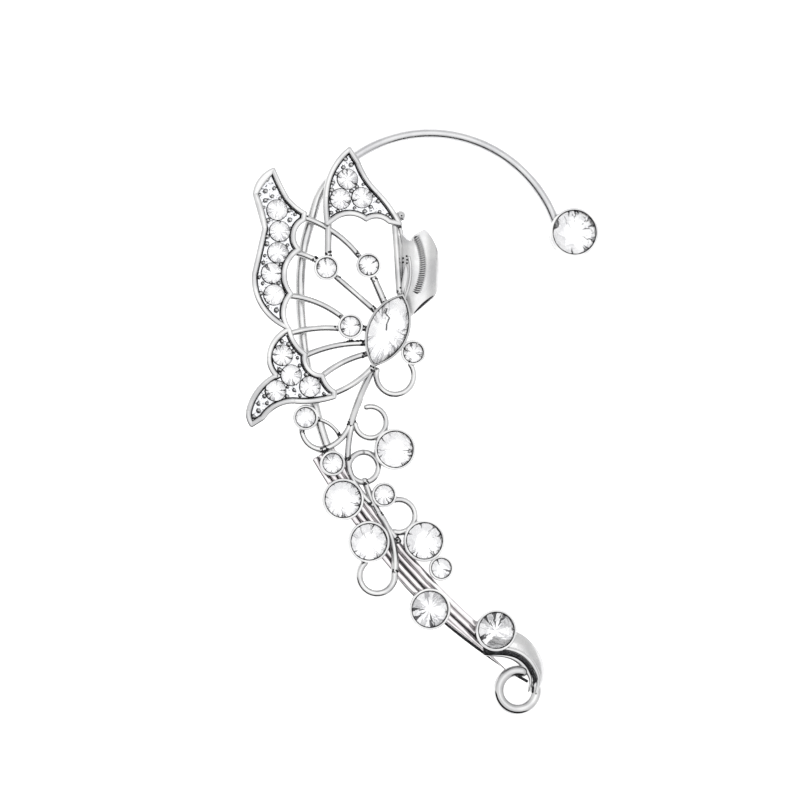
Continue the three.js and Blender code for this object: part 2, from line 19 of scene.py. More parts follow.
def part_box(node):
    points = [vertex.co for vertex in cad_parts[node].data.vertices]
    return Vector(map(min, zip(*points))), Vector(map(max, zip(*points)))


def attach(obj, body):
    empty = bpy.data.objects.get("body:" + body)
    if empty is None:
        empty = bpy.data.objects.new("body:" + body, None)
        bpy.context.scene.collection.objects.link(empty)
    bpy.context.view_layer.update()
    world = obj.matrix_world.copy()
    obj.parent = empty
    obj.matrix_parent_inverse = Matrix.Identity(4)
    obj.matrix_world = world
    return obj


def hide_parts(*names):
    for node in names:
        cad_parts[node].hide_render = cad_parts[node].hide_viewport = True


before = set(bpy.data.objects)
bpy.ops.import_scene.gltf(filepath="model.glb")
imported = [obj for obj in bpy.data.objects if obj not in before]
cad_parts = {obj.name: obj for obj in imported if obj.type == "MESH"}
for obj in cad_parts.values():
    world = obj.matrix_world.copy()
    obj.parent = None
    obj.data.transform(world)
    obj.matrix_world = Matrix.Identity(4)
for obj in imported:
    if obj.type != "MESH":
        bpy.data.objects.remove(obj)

LOG = logging.getLogger("ear_cuff")
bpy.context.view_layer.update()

MM = 0.001

# Reach of each part of the cuff, and the height of its body, in millimetres
WING_REACH = 27.0
SPRAY_REACH = 54.0
HOOK_RADIUS = 18.2
BODY_RISE = 3.0

# Wires, as diameters
HOOK_WIRE = 1.3
RIB_WIRE = 0.86
STEM_WIRE = 1.05
BAR_WIRE = 1.0
EDGE_WIRE = 0.9
FINE_WIRE = 0.6
VINE_WIRE = 0.86
ROD_WIRE = 0.92
CURL_WIRE = 1.5

TRAY_THICKNESS = 1.25
TRAY_SEAT = 0.3

PAVE_STONE = 2.75
SMALL_STONE = 2.6
LARGE_STONE = 4.8
HOOK_STONE = 5.9
MARQUISE_LENGTH = 9.8
MARQUISE_WIDTH = 5.0
STONE_CLEARANCE = 0.12
WIRE_STOP = STONE_CLEARANCE + 0.1
STONE_GAP = 0.16
SETTING_WALL = 0.28
SETTING_FLOOR = 0.35
SETTING_LIP = 0.16
SPRAY_BASE = 0.6
SPRAY_WIRE_LEVEL = 1.15
CURL_DEPTH = 1.5

# Cut of a stone, as shares of its width
TABLE = 0.56
WAIST = 0.8
CROWN = 0.15
GIRDLE = 0.04
PAVILION = 0.3

SOLDER_GRAINS = 7
SOLDER_LENGTH = 0.6
GRAIN_SIZES = (0.09, 0.19)
TUBE_SIDES = 16
LATHE_SIDES = 24
HOLE_SIDES = 32
RIM_SIDES = 16
ARC_STEP = math.radians(5.0)
MIN_STEPS = 20
SHARP_EDGE = math.radians(38.0)
DOUBLES_M = 1e-7

# Angles in degrees of the rings that round a tube's end, and of those that make a bead
CAP_BENDS = (30, 58, 80)
BEAD_BENDS = (-86, -50, -18, 18, 50, 86)


def linear(hex_code: str, alpha: float = 1.0) -> tuple[float, float, float, float]:
    """Turns an sRGB hex value into a linear colour.

    Args:
        hex_code: Six hex digits, with or without a leading hash.
        alpha: Opacity of the colour.

    Returns:
        Linear red, green and blue, and the opacity.
    """
    digits = hex_code.lstrip("#")
    shares = [int(digits[i:i + 2], 16) / 255 for i in (0, 2, 4)]
    return (*[s / 12.92 if s <= 0.04045 else ((s + 0.055) / 1.055) ** 2.4 for s in shares], alpha)


def add_node(
    tree: bpy.types.NodeTree,
    kind: str,
    settings: dict[str, object] | None = None,
    inputs: dict[str | int, object] | None = None,
) -> bpy.types.Node:
    """Adds a node, with its settings, and its inputs as values or as links from other sockets.

    Args:
        tree: Node tree that gets the node.
        kind: Blender's name for the kind of node.
        settings: Properties of the node by name.
        inputs: Values or output sockets by input name or number.

    Returns:
        The new node.
    """
    node = tree.nodes.new(kind)
    for name, value in (settings or {}).items():
        setattr(node, name, value)
    for key, value in (inputs or {}).items():
        if isinstance(value, bpy.types.NodeSocket):
            tree.links.new(value, node.inputs[key])
        else:
            node.inputs[key].default_value = value
    return node


def per_metre(size_mm: float) -> float:
    """Gives the texture scale at which a pattern repeats about every size_mm."""
    return 1.0 / (size_mm * MM)


class Surface:
    """A new node material with its shader, shared by all finishes."""

    def __init__(self, name: str) -> None:
        """Makes an empty material and the object coordinates that its patterns use.

        Args:
            name: Name of the material.
        """
        self.material = bpy.data.materials.new(name)
        self.material.use_nodes = True
        self.tree = self.material.node_tree
        self.tree.nodes.clear()
        self.place = add_node(self.tree, "ShaderNodeTexCoord").outputs["Object"]

    def noise(self, size_mm: float, detail: float = 2.0) -> bpy.types.NodeSocket:
        """Gives a soft noise with features of about size_mm."""
        settings = {"Scale": per_metre(size_mm), "Detail": detail, "Vector": self.place}
        return add_node(self.tree, "ShaderNodeTexNoise", inputs=settings).outputs["Fac"]

    def between(
        self, share: bpy.types.NodeSocket, low: str, high: str, start: float, end: float
    ) -> bpy.types.NodeSocket:
        """Gives a colour that goes from one hex value to another.

        Args:
            share: Pattern that chooses between the two.
            low: Hex value below start.
            high: Hex value above end.
            start: Value of the pattern where the change begins.
            end: Value of the pattern where the change is complete.

        Returns:
            The colour socket.
        """
        ramp = add_node(self.tree, "ShaderNodeValToRGB", inputs={"Fac": share})
        ramp.color_ramp.elements[0].position = start
        ramp.color_ramp.elements[0].color = linear(low)
        ramp.color_ramp.elements[1].position = end
        ramp.color_ramp.elements[1].color = linear(high)
        return ramp.outputs["Color"]

    def span(self, share: bpy.types.NodeSocket, low: float, high: float) -> bpy.types.NodeSocket:
        """Maps a pattern's middle range to values between low and high."""
        inputs = {"Value": share, "From Min": 0.35, "From Max": 0.65, "To Min": low, "To Max": high}
        return add_node(self.tree, "ShaderNodeMapRange", inputs=inputs).outputs["Result"]

    def bump(self, height: bpy.types.NodeSocket, depth_mm: float) -> bpy.types.NodeSocket:
        """Gives the normal of a relief that is depth_mm deep."""
        inputs = {"Height": height, "Strength": 1.0, "Distance": depth_mm * MM}
        return add_node(self.tree, "ShaderNodeBump", inputs=inputs).outputs["Normal"]

    def close(self, **inputs: object) -> bpy.types.Material:
        """Adds the shader and the output.

        Args:
            inputs: Values or sockets for the shader, with underscores for spaces.

        Returns:
            The material.
        """
        named = {name.replace("_", " "): value for name, value in inputs.items()}
        shader = add_node(self.tree, "ShaderNodeBsdfPrincipled", inputs=named)
        surface = {"Surface": shader.outputs["BSDF"]}
        add_node(self.tree, "ShaderNodeOutputMaterial", inputs=surface)
        return self.material


@dataclass(frozen=True)
class MetalFinish:
    """A metal whose tone drifts between two values and whose polish follows its fine marks."""

    name: str
    dull: str
    bright: str
    change: tuple[float, float]
    tone_mm: float
    mark_mm: float
    detail: tuple[float, float]
    roughness: tuple[float, float]
    depth_mm: float = 0.0
    metallic: float = 1.0

    def make(self) -> bpy.types.Material:
        """Makes the material, with a relief where the marks have a depth.

        Returns:
            The material.
        """
        surface = Surface(self.name)
        tone = surface.noise(self.tone_mm, self.detail[0])
        mark = surface.noise(self.mark_mm, self.detail[1])
        relief = {"Normal": surface.bump(mark, self.depth_mm)} if self.depth_mm else {}
        return surface.close(
            Base_Color=surface.between(tone, self.dull, self.bright, *self.change),
            Metallic=self.metallic,
            Roughness=surface.span(mark, *self.roughness),
            **relief,
        )


@dataclass(frozen=True)
class RhodiumPlate(MetalFinish):
    """Rhodium-tone plating on cast white metal, tumbled bright.

    It gives the eye a cold, nearly white mirror, with faint waves left by the casting.
    """

    name: str = "rhodium_plate_on_cast_metal"
    dull: str = "#B0B0B1"
    bright: str = "#C2C2C2"
    change: tuple[float, float] = (0.4, 0.6)
    tone_mm: float = 3.5
    mark_mm: float = 0.9
    detail: tuple[float, float] = (2.0, 3.0)
    roughness: tuple[float, float] = (0.06, 0.13)
    depth_mm: float = 0.006


@dataclass(frozen=True)
class OxideAndPaintedShade(MetalFinish):
    """Blackened metal in the bottom of the trays and grooves, where no tumbling reaches, and also
    painted shade: discs under beads, rings round stones and lines along edges where shadow falls.

    It gives the eye the dark lines that draw each stone and rim.
    """

    name: str = "oxide_and_painted_shade"
    dull: str = "#0E0E10"
    bright: str = "#55565B"
    change: tuple[float, float] = (0.5, 0.72)
    tone_mm: float = 0.22
    mark_mm: float = 0.22
    detail: tuple[float, float] = (4.0, 4.0)
    roughness: tuple[float, float] = (0.35, 0.6)
    depth_mm: float = 0.03
    metallic: float = 0.6


@dataclass(frozen=True)
class GrainedPlate(MetalFinish):
    """Plated metal between the beads of a tray, left matt and pitted by the graver.

    It gives the eye a broken grey ground between bright beads.
    """

    name: str = "grained_plate"
    dull: str = "#66666A"
    bright: str = "#D9DADD"
    change: tuple[float, float] = (0.33, 0.45)
    tone_mm: float = 0.3
    mark_mm: float = 0.3
    detail: tuple[float, float] = (3.0, 3.0)
    roughness: tuple[float, float] = (0.2, 0.4)
    depth_mm: float = 0.05


@dataclass(frozen=True)
class FoilBack(MetalFinish):
    """Silver foil fired on the back of a rhinestone, as smooth as the glass it lies on.

    It gives the eye a soft white glow under the facets; its grey and dark copies are painted shade,
    the dark rays.
    """

    name: str = "silver_foil_back"
    dull: str = "#D3D3D4"
    bright: str = "#E2E2E2"
    change: tuple[float, float] = (0.4, 0.6)
    tone_mm: float = 0.7
    mark_mm: float = 0.7
    detail: tuple[float, float] = (2.0, 2.0)
    roughness: tuple[float, float] = (0.1, 0.2)
    metallic: float = 0.9


@dataclass(frozen=True)
class CutGlass:
    """Machine-cut clear glass of a rhinestone.

    It gives the eye sharp bright glints on flat facets, over a clear inside.
    """

    name: str = "cut_clear_glass"
    tint: str = "#FDFDFE"
    polish_mm: float = 0.5
    ior: float = 1.56

    def make(self) -> bpy.types.Material:
        """Makes the material: clear glass with the faint unevenness of its polish.

        Returns:
            The material.
        """
        surface = Surface(self.name)
        polish = surface.noise(self.polish_mm)
        return surface.close(
            Base_Color=linear(self.tint),
            Transmission_Weight=1.0,
            IOR=self.ior,
            Roughness=surface.span(polish, 0.0, 0.03),
        )


@dataclass(frozen=True)
class OpalBoard:
    """Opal acrylic light board under the cuff, which shows as a plain pale floor.

    Its faint glow gives the eye a floor that the cuff hardly shades.
    """

    name: str = "opal_acrylic_board"
    white: str = "#FCFCFC"
    shade: str = "#F8F8F8"
    grain_mm: float = 6.0
    glow: float = 0.8

    def make(self) -> bpy.types.Material:
        """Makes the material: matt white with a nearly unseen drift in tone.

        Returns:
            The material.
        """
        surface = Surface(self.name)
        grain = surface.noise(self.grain_mm)
        return surface.close(
            Base_Color=surface.between(grain, self.shade, self.white, 0.4, 0.6),
            Roughness=0.9,
            Emission_Color=linear(self.white),
            Emission_Strength=self.glow,
        )


class Finish(Enum):
    """The finishes of the cuff, in the order of each piece's material slots."""

    PLATE = 0
    # Oxide in the hollows, and painted shade where the same dark metal stands for shadow
    OXIDE_AND_PAINTED_SHADE = 1
    WARM_PLATE = 2
    SATIN_PLATE = 3
    GRAINED = 4
    GLASS = 5
    FOIL = 6
    # Grey and dark copies of the foil: painted half shade and painted shade
    FOIL_PAINTED_HALF_SHADE = 7
    FOIL_PAINTED_SHADE = 8
    DRAWN_WIRE = 9


@dataclass(frozen=True)
class Corner:
    """A corner of an outline, as shares of a reach, and the bulge of the stretch after it."""

    x: float
    y: float
    bulge: float


@dataclass(frozen=True)
class Arc:
    """An arc between two places. Its bulge is the tangent of a quarter of its turn."""

    x0: float
    y0: float
    x1: float
    y1: float
    bulge: float = 0.0

    def at(self, along: float, offset: float = 0.0) -> Vector:
        """Finds a place on the arc.

        Args:
            along: Share of the arc from its start.
            offset: Distance to the right of travel.

        Returns:
            The place, in two dimensions.
        """
        start = Vector((self.x0, self.y0))
        chord = Vector((self.x1, self.y1)) - start
        right = Vector((chord.y, -chord.x)).normalized()
        if self.bulge == 0:
            return start + chord * along + right * offset
        turn = 4 * math.atan(self.bulge)
        radius = chord.length / 2 / math.sin(turn / 2)
        centre = start + chord * 0.5 - right * radius * math.cos(turn / 2)
        spoke = start - centre
        c, s = math.cos(turn * along), math.sin(turn * along)
        spoke = Vector((spoke.x * c - spoke.y * s, spoke.x * s + spoke.y * c))
        return centre + spoke * (1 + offset / radius)

    def steps(self) -> int:
        """Gives the number of straight steps that draw the arc smoothly."""
        return max(MIN_STEPS, math.ceil(4 * math.atan(abs(self.bulge)) / ARC_STEP))

    def points(self, offset: float = 0.0) -> list[Vector]:
        """Gives the arc's points, moved to the right of travel by offset."""
        steps = self.steps()
        return [self.at(i / steps, offset) for i in range(steps + 1)]

    def scaled(self, reach: float) -> "Arc":
        """Gives the same arc in millimetres, where its places are shares of reach."""
        places = [share * reach for share in (self.x0, self.y0, self.x1, self.y1)]
        return Arc(*places, self.bulge)


@dataclass(frozen=True)
class Ring:
    """An arc about a centre, between two angles in degrees."""

    x: float
    y: float
    radius: float
    start: float
    end: float

    def points(self, reach: float) -> list[Vector]:
        """Draws the arc, whose sizes are shares of reach.

        Args:
            reach: What the shares count from, in millimetres.

        Returns:
            Its points in millimetres.
        """
        turn = self.end - self.start
        steps = math.ceil(math.radians(abs(turn)) / ARC_STEP)
        angles = [math.radians(self.start + turn * i / steps) for i in range(steps + 1)]
        centre = Vector((self.x, self.y))
        return [(centre + polar(angle, self.radius)) * reach for angle in angles]


@dataclass(frozen=True)
class Place:
    """A place as shares of a reach."""

    x: float
    y: float

    def flat(self, reach: float) -> Vector:
        """Gives the place in millimetres."""
        return Vector((self.x, self.y)) * reach


def polar(angle: float, length: float = 1.0) -> Vector:
    """Gives a flat vector by its angle in radians and its length."""
    return Vector((math.cos(angle), math.sin(angle))) * length


def wave(share: float, power: float = 1.0) -> float:
    """Rises from 0 to 1 in the middle of a path and falls back, flatter with a lower power."""
    return math.sin(math.pi * share) ** power


def lift(x: float, y: float) -> float:
    """Gives the height of the wings' dome above the floor."""
    return BODY_RISE * max(0.0, 1 - (x * x + y * y) / (WING_REACH * WING_REACH))


def raised(points: Sequence[Vector], height: float) -> list[Vector]:
    """Puts flat points at one height."""
    return [Vector((p.x, p.y, height)) for p in points]


def on_dome(points: Sequence[Vector], height: float) -> list[Vector]:
    """Puts flat points at a height above the wings' dome."""
    return [Vector((p.x, p.y, lift(p.x, p.y) + height)) for p in points]


def around(rows: Sequence) -> Iterator[tuple]:
    """Pairs each item of a closed row with the one after it."""
    return zip(rows, [*rows[1:], rows[0]])


def stretches(rows: Sequence[Corner], reach: float) -> list[Arc]:
    """Gives the arcs of a closed outline whose corners are shares of reach."""
    return [Arc(a.x, a.y, b.x, b.y, a.bulge).scaled(reach) for a, b in around(rows)]


def outline_points(rows: Sequence[Corner], reach: float) -> list[Vector]:
    """Draws a closed outline, each of its points once, from corners that are shares of reach."""
    return [point for arc in stretches(rows, reach) for point in arc.points()[:-1]]


def turned_left(points: Sequence[Vector]) -> bool:
    """Says whether a closed outline runs anticlockwise."""
    return sum(a.x * b.y - a.y * b.x for a, b in around(points)) > 0


def inset(points: Sequence[Vector], margin: float) -> list[Vector]:
    """Moves each point of a closed outline inwards by a margin, and less at sharp corners.

    Args:
        points: Points round the outline.
        margin: Distance to move them.

    Returns:
        The moved points.
    """
    sign = 1.0 if turned_left(points) else -1.0
    moved = []
    for i, point in enumerate(points):
        before = (point - points[i - 1]).normalized()
        after = (points[(i + 1) % len(points)] - point).normalized()
        first = Vector((-before.y, before.x)) * sign
        second = Vector((-after.y, after.x)) * sign
        mitre = (first + second) / max(0.35, 1 + first.dot(second))
        moved.append(point + mitre * margin)
    return moved


def inside(points: Sequence[Vector], x: float, y: float) -> bool:
    """Says whether a place is inside a closed outline.

    Args:
        points: Points round the outline.
        x: X of the place.
        y: Y of the place.

    Returns:
        True if the place is inside.
    """
    found = False
    for a, b in around(points):
        if (a.y > y) != (b.y > y) and x < (b.x - a.x) * (y - a.y) / (b.y - a.y) + a.x:
            found = not found
    return found


def edge_distance(points: Sequence[Vector], x: float, y: float) -> float:
    """Measures from a place to the nearest edge of a closed outline.

    Args:
        points: Points round the outline.
        x: X of the place.
        y: Y of the place.

    Returns:
        The distance.
    """
    place = Vector((x, y))
    nearest = math.inf
    for a, b in around(points):
        edge = b - a
        along = min(1.0, max(0.0, (place - a).dot(edge) / max(edge.length_squared, 1e-9)))
        nearest = min(nearest, (a + edge * along - place).length)
    return nearest


def smooth_path(points: Sequence[Vector], steps: int) -> list[Vector]:
    """Draws a smooth curve through points, with even bends and no overshoot.

    Args:
        points: Points to pass through.
        steps: Steps between two of them.

    Returns:
        Points of the curve.
    """
    padded = [points[0] * 2 - points[1], *points, points[-1] * 2 - points[-2]]
    curve = []
    for i in range(1, len(padded) - 2):
        p = padded[i - 1:i + 3]
        knots = [0.0]
        for a, b in zip(p, p[1:]):
            knots.append(knots[-1] + math.sqrt((b - a).length))
        for step in range(steps):
            t = knots[1] + (knots[2] - knots[1]) * step / steps
            rows = list(p)
            for level in (1, 2, 3):
                for k in range(4 - level):
                    low, high = (k, k + level) if level < 3 else (1, 2)
                    share = (t - knots[low]) / (knots[high] - knots[low])
                    rows[k] = rows[k] * (1 - share) + rows[k + 1] * share
            curve.append(rows[0])
    return [*curve, points[-1]]


def trimmed(path: Sequence[Vector]) -> list[Vector]:
    """Cuts off the ends of a wire that lie inside a setting.

    Args:
        path: Points of the wire.

    Returns:
        The rest of the path, with at least two points.
    """
    points = list(path)
    while len(points) > 2 and in_setting(points[0]):
        points.pop(0)
    while len(points) > 2 and in_setting(points[-1]):
        points.pop()
    return points


class Jig:
    """Turns millimetres from the body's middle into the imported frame."""

    def __init__(self) -> None:
        """Finds the body's middle from the body stone's packed box."""
        low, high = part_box("stone_body_marquise")
        middle = (low + high) / 2
        stone = MARQUISE_PLACE.flat(WING_REACH) * MM
        self.origin = Vector((middle.x - stone.x, middle.y - stone.y, 0.0))

    def place(self, point: Vector) -> Vector:
        """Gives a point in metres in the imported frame."""
        return self.origin + point * MM


Width = float | Callable[[float], float]


def at_share(width: Width, share: float) -> float:
    """Gives a width at a share along its path."""
    return width(share) if callable(width) else width


def dark_from(first: int) -> Callable[[int], Finish]:
    """Gives plate to the bands of a loft, and dark oxide with painted shade from the band numbered
    first.
    """
    return lambda band: Finish.OXIDE_AND_PAINTED_SHADE if band >= first else Finish.PLATE


class Draft:
    """Vertices and faces of one piece while it is built, in millimetres."""

    def __init__(self) -> None:
        """Starts an empty draft."""
        self.corners: list[Vector] = []
        self.faces: list[tuple[int, ...]] = []
        self.finishes: list[Finish] = []
        self.smooth: list[bool] = []

    def face(self, corners: tuple[int, ...], finish: Finish, smooth: bool) -> None:
        """Adds one face.

        Args:
            corners: Numbers of its corners.
            finish: Finish of the face.
            smooth: Whether it is shaded smooth.
        """
        self.faces.append(corners)
        self.finishes.append(finish)
        self.smooth.append(smooth)

    def loft(
        self,
        rings: Sequence[Sequence[Vector]],
        finish: Finish | Callable[[int], Finish] = Finish.PLATE,
        capped: bool = True,
    ) -> None:
        """Skins closed rings that have the same number of points.

        Args:
            rings: Rings in order, each a closed loop.
            finish: Finish of the skin, or a function that gives it for each band's number.
            capped: Whether the first and last ring are closed with a face.
        """
        look = finish if callable(finish) else lambda band: finish
        count = len(rings[0])
        start = len(self.corners)
        for ring in rings:
            self.corners += ring
        for band in range(len(rings) - 1):
            low, high = start + band * count, start + (band + 1) * count
            for i in range(count):
                j = (i + 1) % count
                self.face((low + i, high + i, high + j, low + j), look(band), True)
        if capped:
            self.face(tuple(start + i for i in range(count)), look(0), True)
            end = start + (len(rings) - 1) * count
            self.face(tuple(end + i for i in reversed(range(count))), look(len(rings) - 2), True)

    def tube(
        self,
        path: Sequence[Vector],
        half_width: Width,
        half_height: Width | None = None,
        finish: Finish = Finish.PLATE,
        sides: int = TUBE_SIDES,
        square: float = 1.0,
    ) -> None:
        """Sweeps an oval section along a path and rounds both ends.

        Args:
            path: Points of the middle line.
            half_width: Half of the section's width, in the plane of the floor.
            half_height: Half of its height, or None for a round section.
            finish: Finish of the tube.
            sides: Points of the section.
            square: Below 1 the section bulges towards a rectangle with rounded corners.
        """
        rings = []
        last = len(path) - 1
        tall = half_width if half_height is None else half_height
        for i, point in enumerate(path):
            travel = (path[min(last, i + 1)] - path[max(0, i - 1)]).normalized()
            side = Vector((travel.y, -travel.x, 0)).normalized()
            up = side.cross(travel)
            wide, high = at_share(half_width, i / last), at_share(tall, i / last)
            ends = [(0.0, 1.0)]
            if i in (0, last):
                sign = -1.0 if i == 0 else 1.0
                bends = [math.radians(angle) for angle in CAP_BENDS]
                ends += [(math.sin(bend) * sign, math.cos(bend)) for bend in bends]
                ends.sort(key=lambda row: row[0])
            for ahead, size in ends:
                ring = []
                for k in range(sides):
                    angle = 2 * math.pi * k / sides
                    c, s = math.cos(angle), math.sin(angle)
                    u = math.copysign(abs(c) ** square, c) * wide * size
                    v = math.copysign(abs(s) ** square, s) * high * size
                    ring.append(point + travel * ahead * min(wide, high) + side * u + up * v)
                rings.append(ring)
        self.loft(rings, finish)

    def lathe(
        self,
        centre: Vector,
        profile: Sequence[tuple[float, float]],
        finish: Finish | Callable[[int], Finish] = Finish.PLATE,
        sides: int = LATHE_SIDES,
        capped: bool = True,
    ) -> None:
        """Turns a profile about a vertical axis.

        Args:
            centre: Place of the axis, and the level that heights count from.
            profile: Radii and heights.
            finish: Finish of the skin, or a function that gives it for each band's number.
            sides: Points of each ring.
            capped: Whether the first and last ring are closed with a face.
        """
        angles = [2 * math.pi * k / sides for k in range(sides)]
        rings = [
            [centre + Vector((math.cos(a) * radius, math.sin(a) * radius, height)) for a in angles]
            for radius, height in profile
        ]
        self.loft(rings, finish, capped)

    def bead(self, centre: Vector, radius: float, finish: Finish = Finish.PLATE) -> None:
        """Adds a small ball.

        Args:
            centre: Its middle.
            radius: Half of its width.
            finish: Its finish.
        """
        bends = [math.radians(angle) for angle in BEAD_BENDS]
        profile = [(radius * math.cos(b), radius * math.sin(b)) for b in bends]
        self.lathe(centre, profile, finish, sides=12)

    def wire(self, path: Sequence[Vector], diameter: float, soldered: bool = True) -> None:
        """Draws a round wire outside the settings.

        Args:
            path: Middle line of the wire.
            diameter: Its thickness.
            soldered: Whether it has dark flux at its ends.
        """
        points = trimmed(path)
        self.tube(points, diameter / 2)
        if soldered:
            solder(self, points, diameter / 2)

    def sheet(
        self,
        edge: Sequence[Vector],
        height: Callable[[float, float], float],
        finish: Finish,
        holes: Sequence[tuple[Vector, float]] = (),
    ) -> None:
        """Fills an outline with triangles, also where it has notches.

        Args:
            edge: Points round the outline.
            height: Height of the sheet at an X and a Y.
            finish: Finish of the sheet.
            holes: Middle and radius of each round hole.
        """
        flat = [Vector((p.x, p.y)) for p in edge]
        outline = tuple(range(len(flat)))
        ties: list[tuple[int, int]] = []
        for middle, radius in holes:
            first = len(flat)
            flat += [middle + polar(2 * math.pi * k / HOLE_SIDES, radius) for k in range(HOLE_SIDES)]
            ties += [(first + k, first + (k + 1) % HOLE_SIDES) for k in range(HOLE_SIDES)]
        inside_only = 1
        points, _, faces, *_ = delaunay_2d_cdt(flat, ties, [outline], inside_only, 1e-5)
        start = len(self.corners)
        self.corners += [Vector((p.x, p.y, height(p.x, p.y))) for p in points]
        for corners in faces:
            centre = sum((points[k] for k in corners), Vector((0, 0))) / len(corners)
            if all((centre - middle).length > radius for middle, radius in holes):
                self.face(tuple(start + k for k in corners), finish, True)

    def facet(self, corners: Sequence[Vector], finish: Finish) -> None:
        """Adds a flat face with corners of its own.

        Args:
            corners: Its corners in order.
            finish: Its finish.
        """
        start = len(self.corners)
        self.corners += corners
        self.face(tuple(range(start, start + len(corners))), finish, False)

    def piece(
        self,
        name: str,
        workshop: "Workshop",
        nodes: Sequence[str] = ("metal_frame",),
    ) -> None:
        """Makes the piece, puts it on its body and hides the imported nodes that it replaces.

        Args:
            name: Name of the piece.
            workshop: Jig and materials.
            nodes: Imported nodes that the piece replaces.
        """
        mesh = bpy.data.meshes.new(name)
        corners = [tuple(workshop.jig.place(corner.to_3d())) for corner in self.corners]
        mesh.from_pydata(corners, [], self.faces)
        used = sorted(set(self.finishes), key=lambda finish: finish.value)
        for finish in used:
            mesh.materials.append(workshop.materials[finish])
        mesh.polygons.foreach_set("material_index", [used.index(f) for f in self.finishes])
        mesh.polygons.foreach_set("use_smooth", self.smooth)
        shape = bmesh.new()
        shape.from_mesh(mesh)
        bmesh.ops.remove_doubles(shape, verts=shape.verts, dist=DOUBLES_M)
        bmesh.ops.recalc_face_normals(shape, faces=shape.faces)
        for edge in shape.edges:
            if edge.is_manifold and edge.calc_face_angle(0.0) > SHARP_EDGE:
                edge.smooth = False
        shape.to_mesh(mesh)
        shape.free()
        made = bpy.data.objects.new(name, mesh)
        bpy.context.scene.collection.objects.link(made)
        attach(made, "root")
        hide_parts(*nodes)
        LOG.info("%s: %d faces", name, len(mesh.polygons))


MARQUISE_PLACE = Place(-0.025, 0.0)
MARQUISE_HEADING = 67.4


@dataclass(frozen=True)
class Workshop:
    """What every sub-assembly builds with."""

    jig: Jig
    materials: dict[Finish, bpy.types.Material]


@dataclass(frozen=True)
class StoneCut:
    """How the foiled back of a stone is cut into rays, and how many of them get dark and grey
    painted shade.

    The rays start at root, a share of the radius, and end between the shares tip_from and tip_to.
    """

    sectors: int
    root: float
    tip_from: float
    tip_to: float
    dark_share: float
    grey_share: float


FINE_CUT = StoneCut(46, 0.84, 0.34, 0.7, 0.18, 0.16)
SMALL_CUT = StoneCut(25, 0.82, 0.12, 0.58, 0.13, 0.24)
BOLD_CUT = StoneCut(21, 0.84, 0.05, 0.3, 0.1, 0.38)


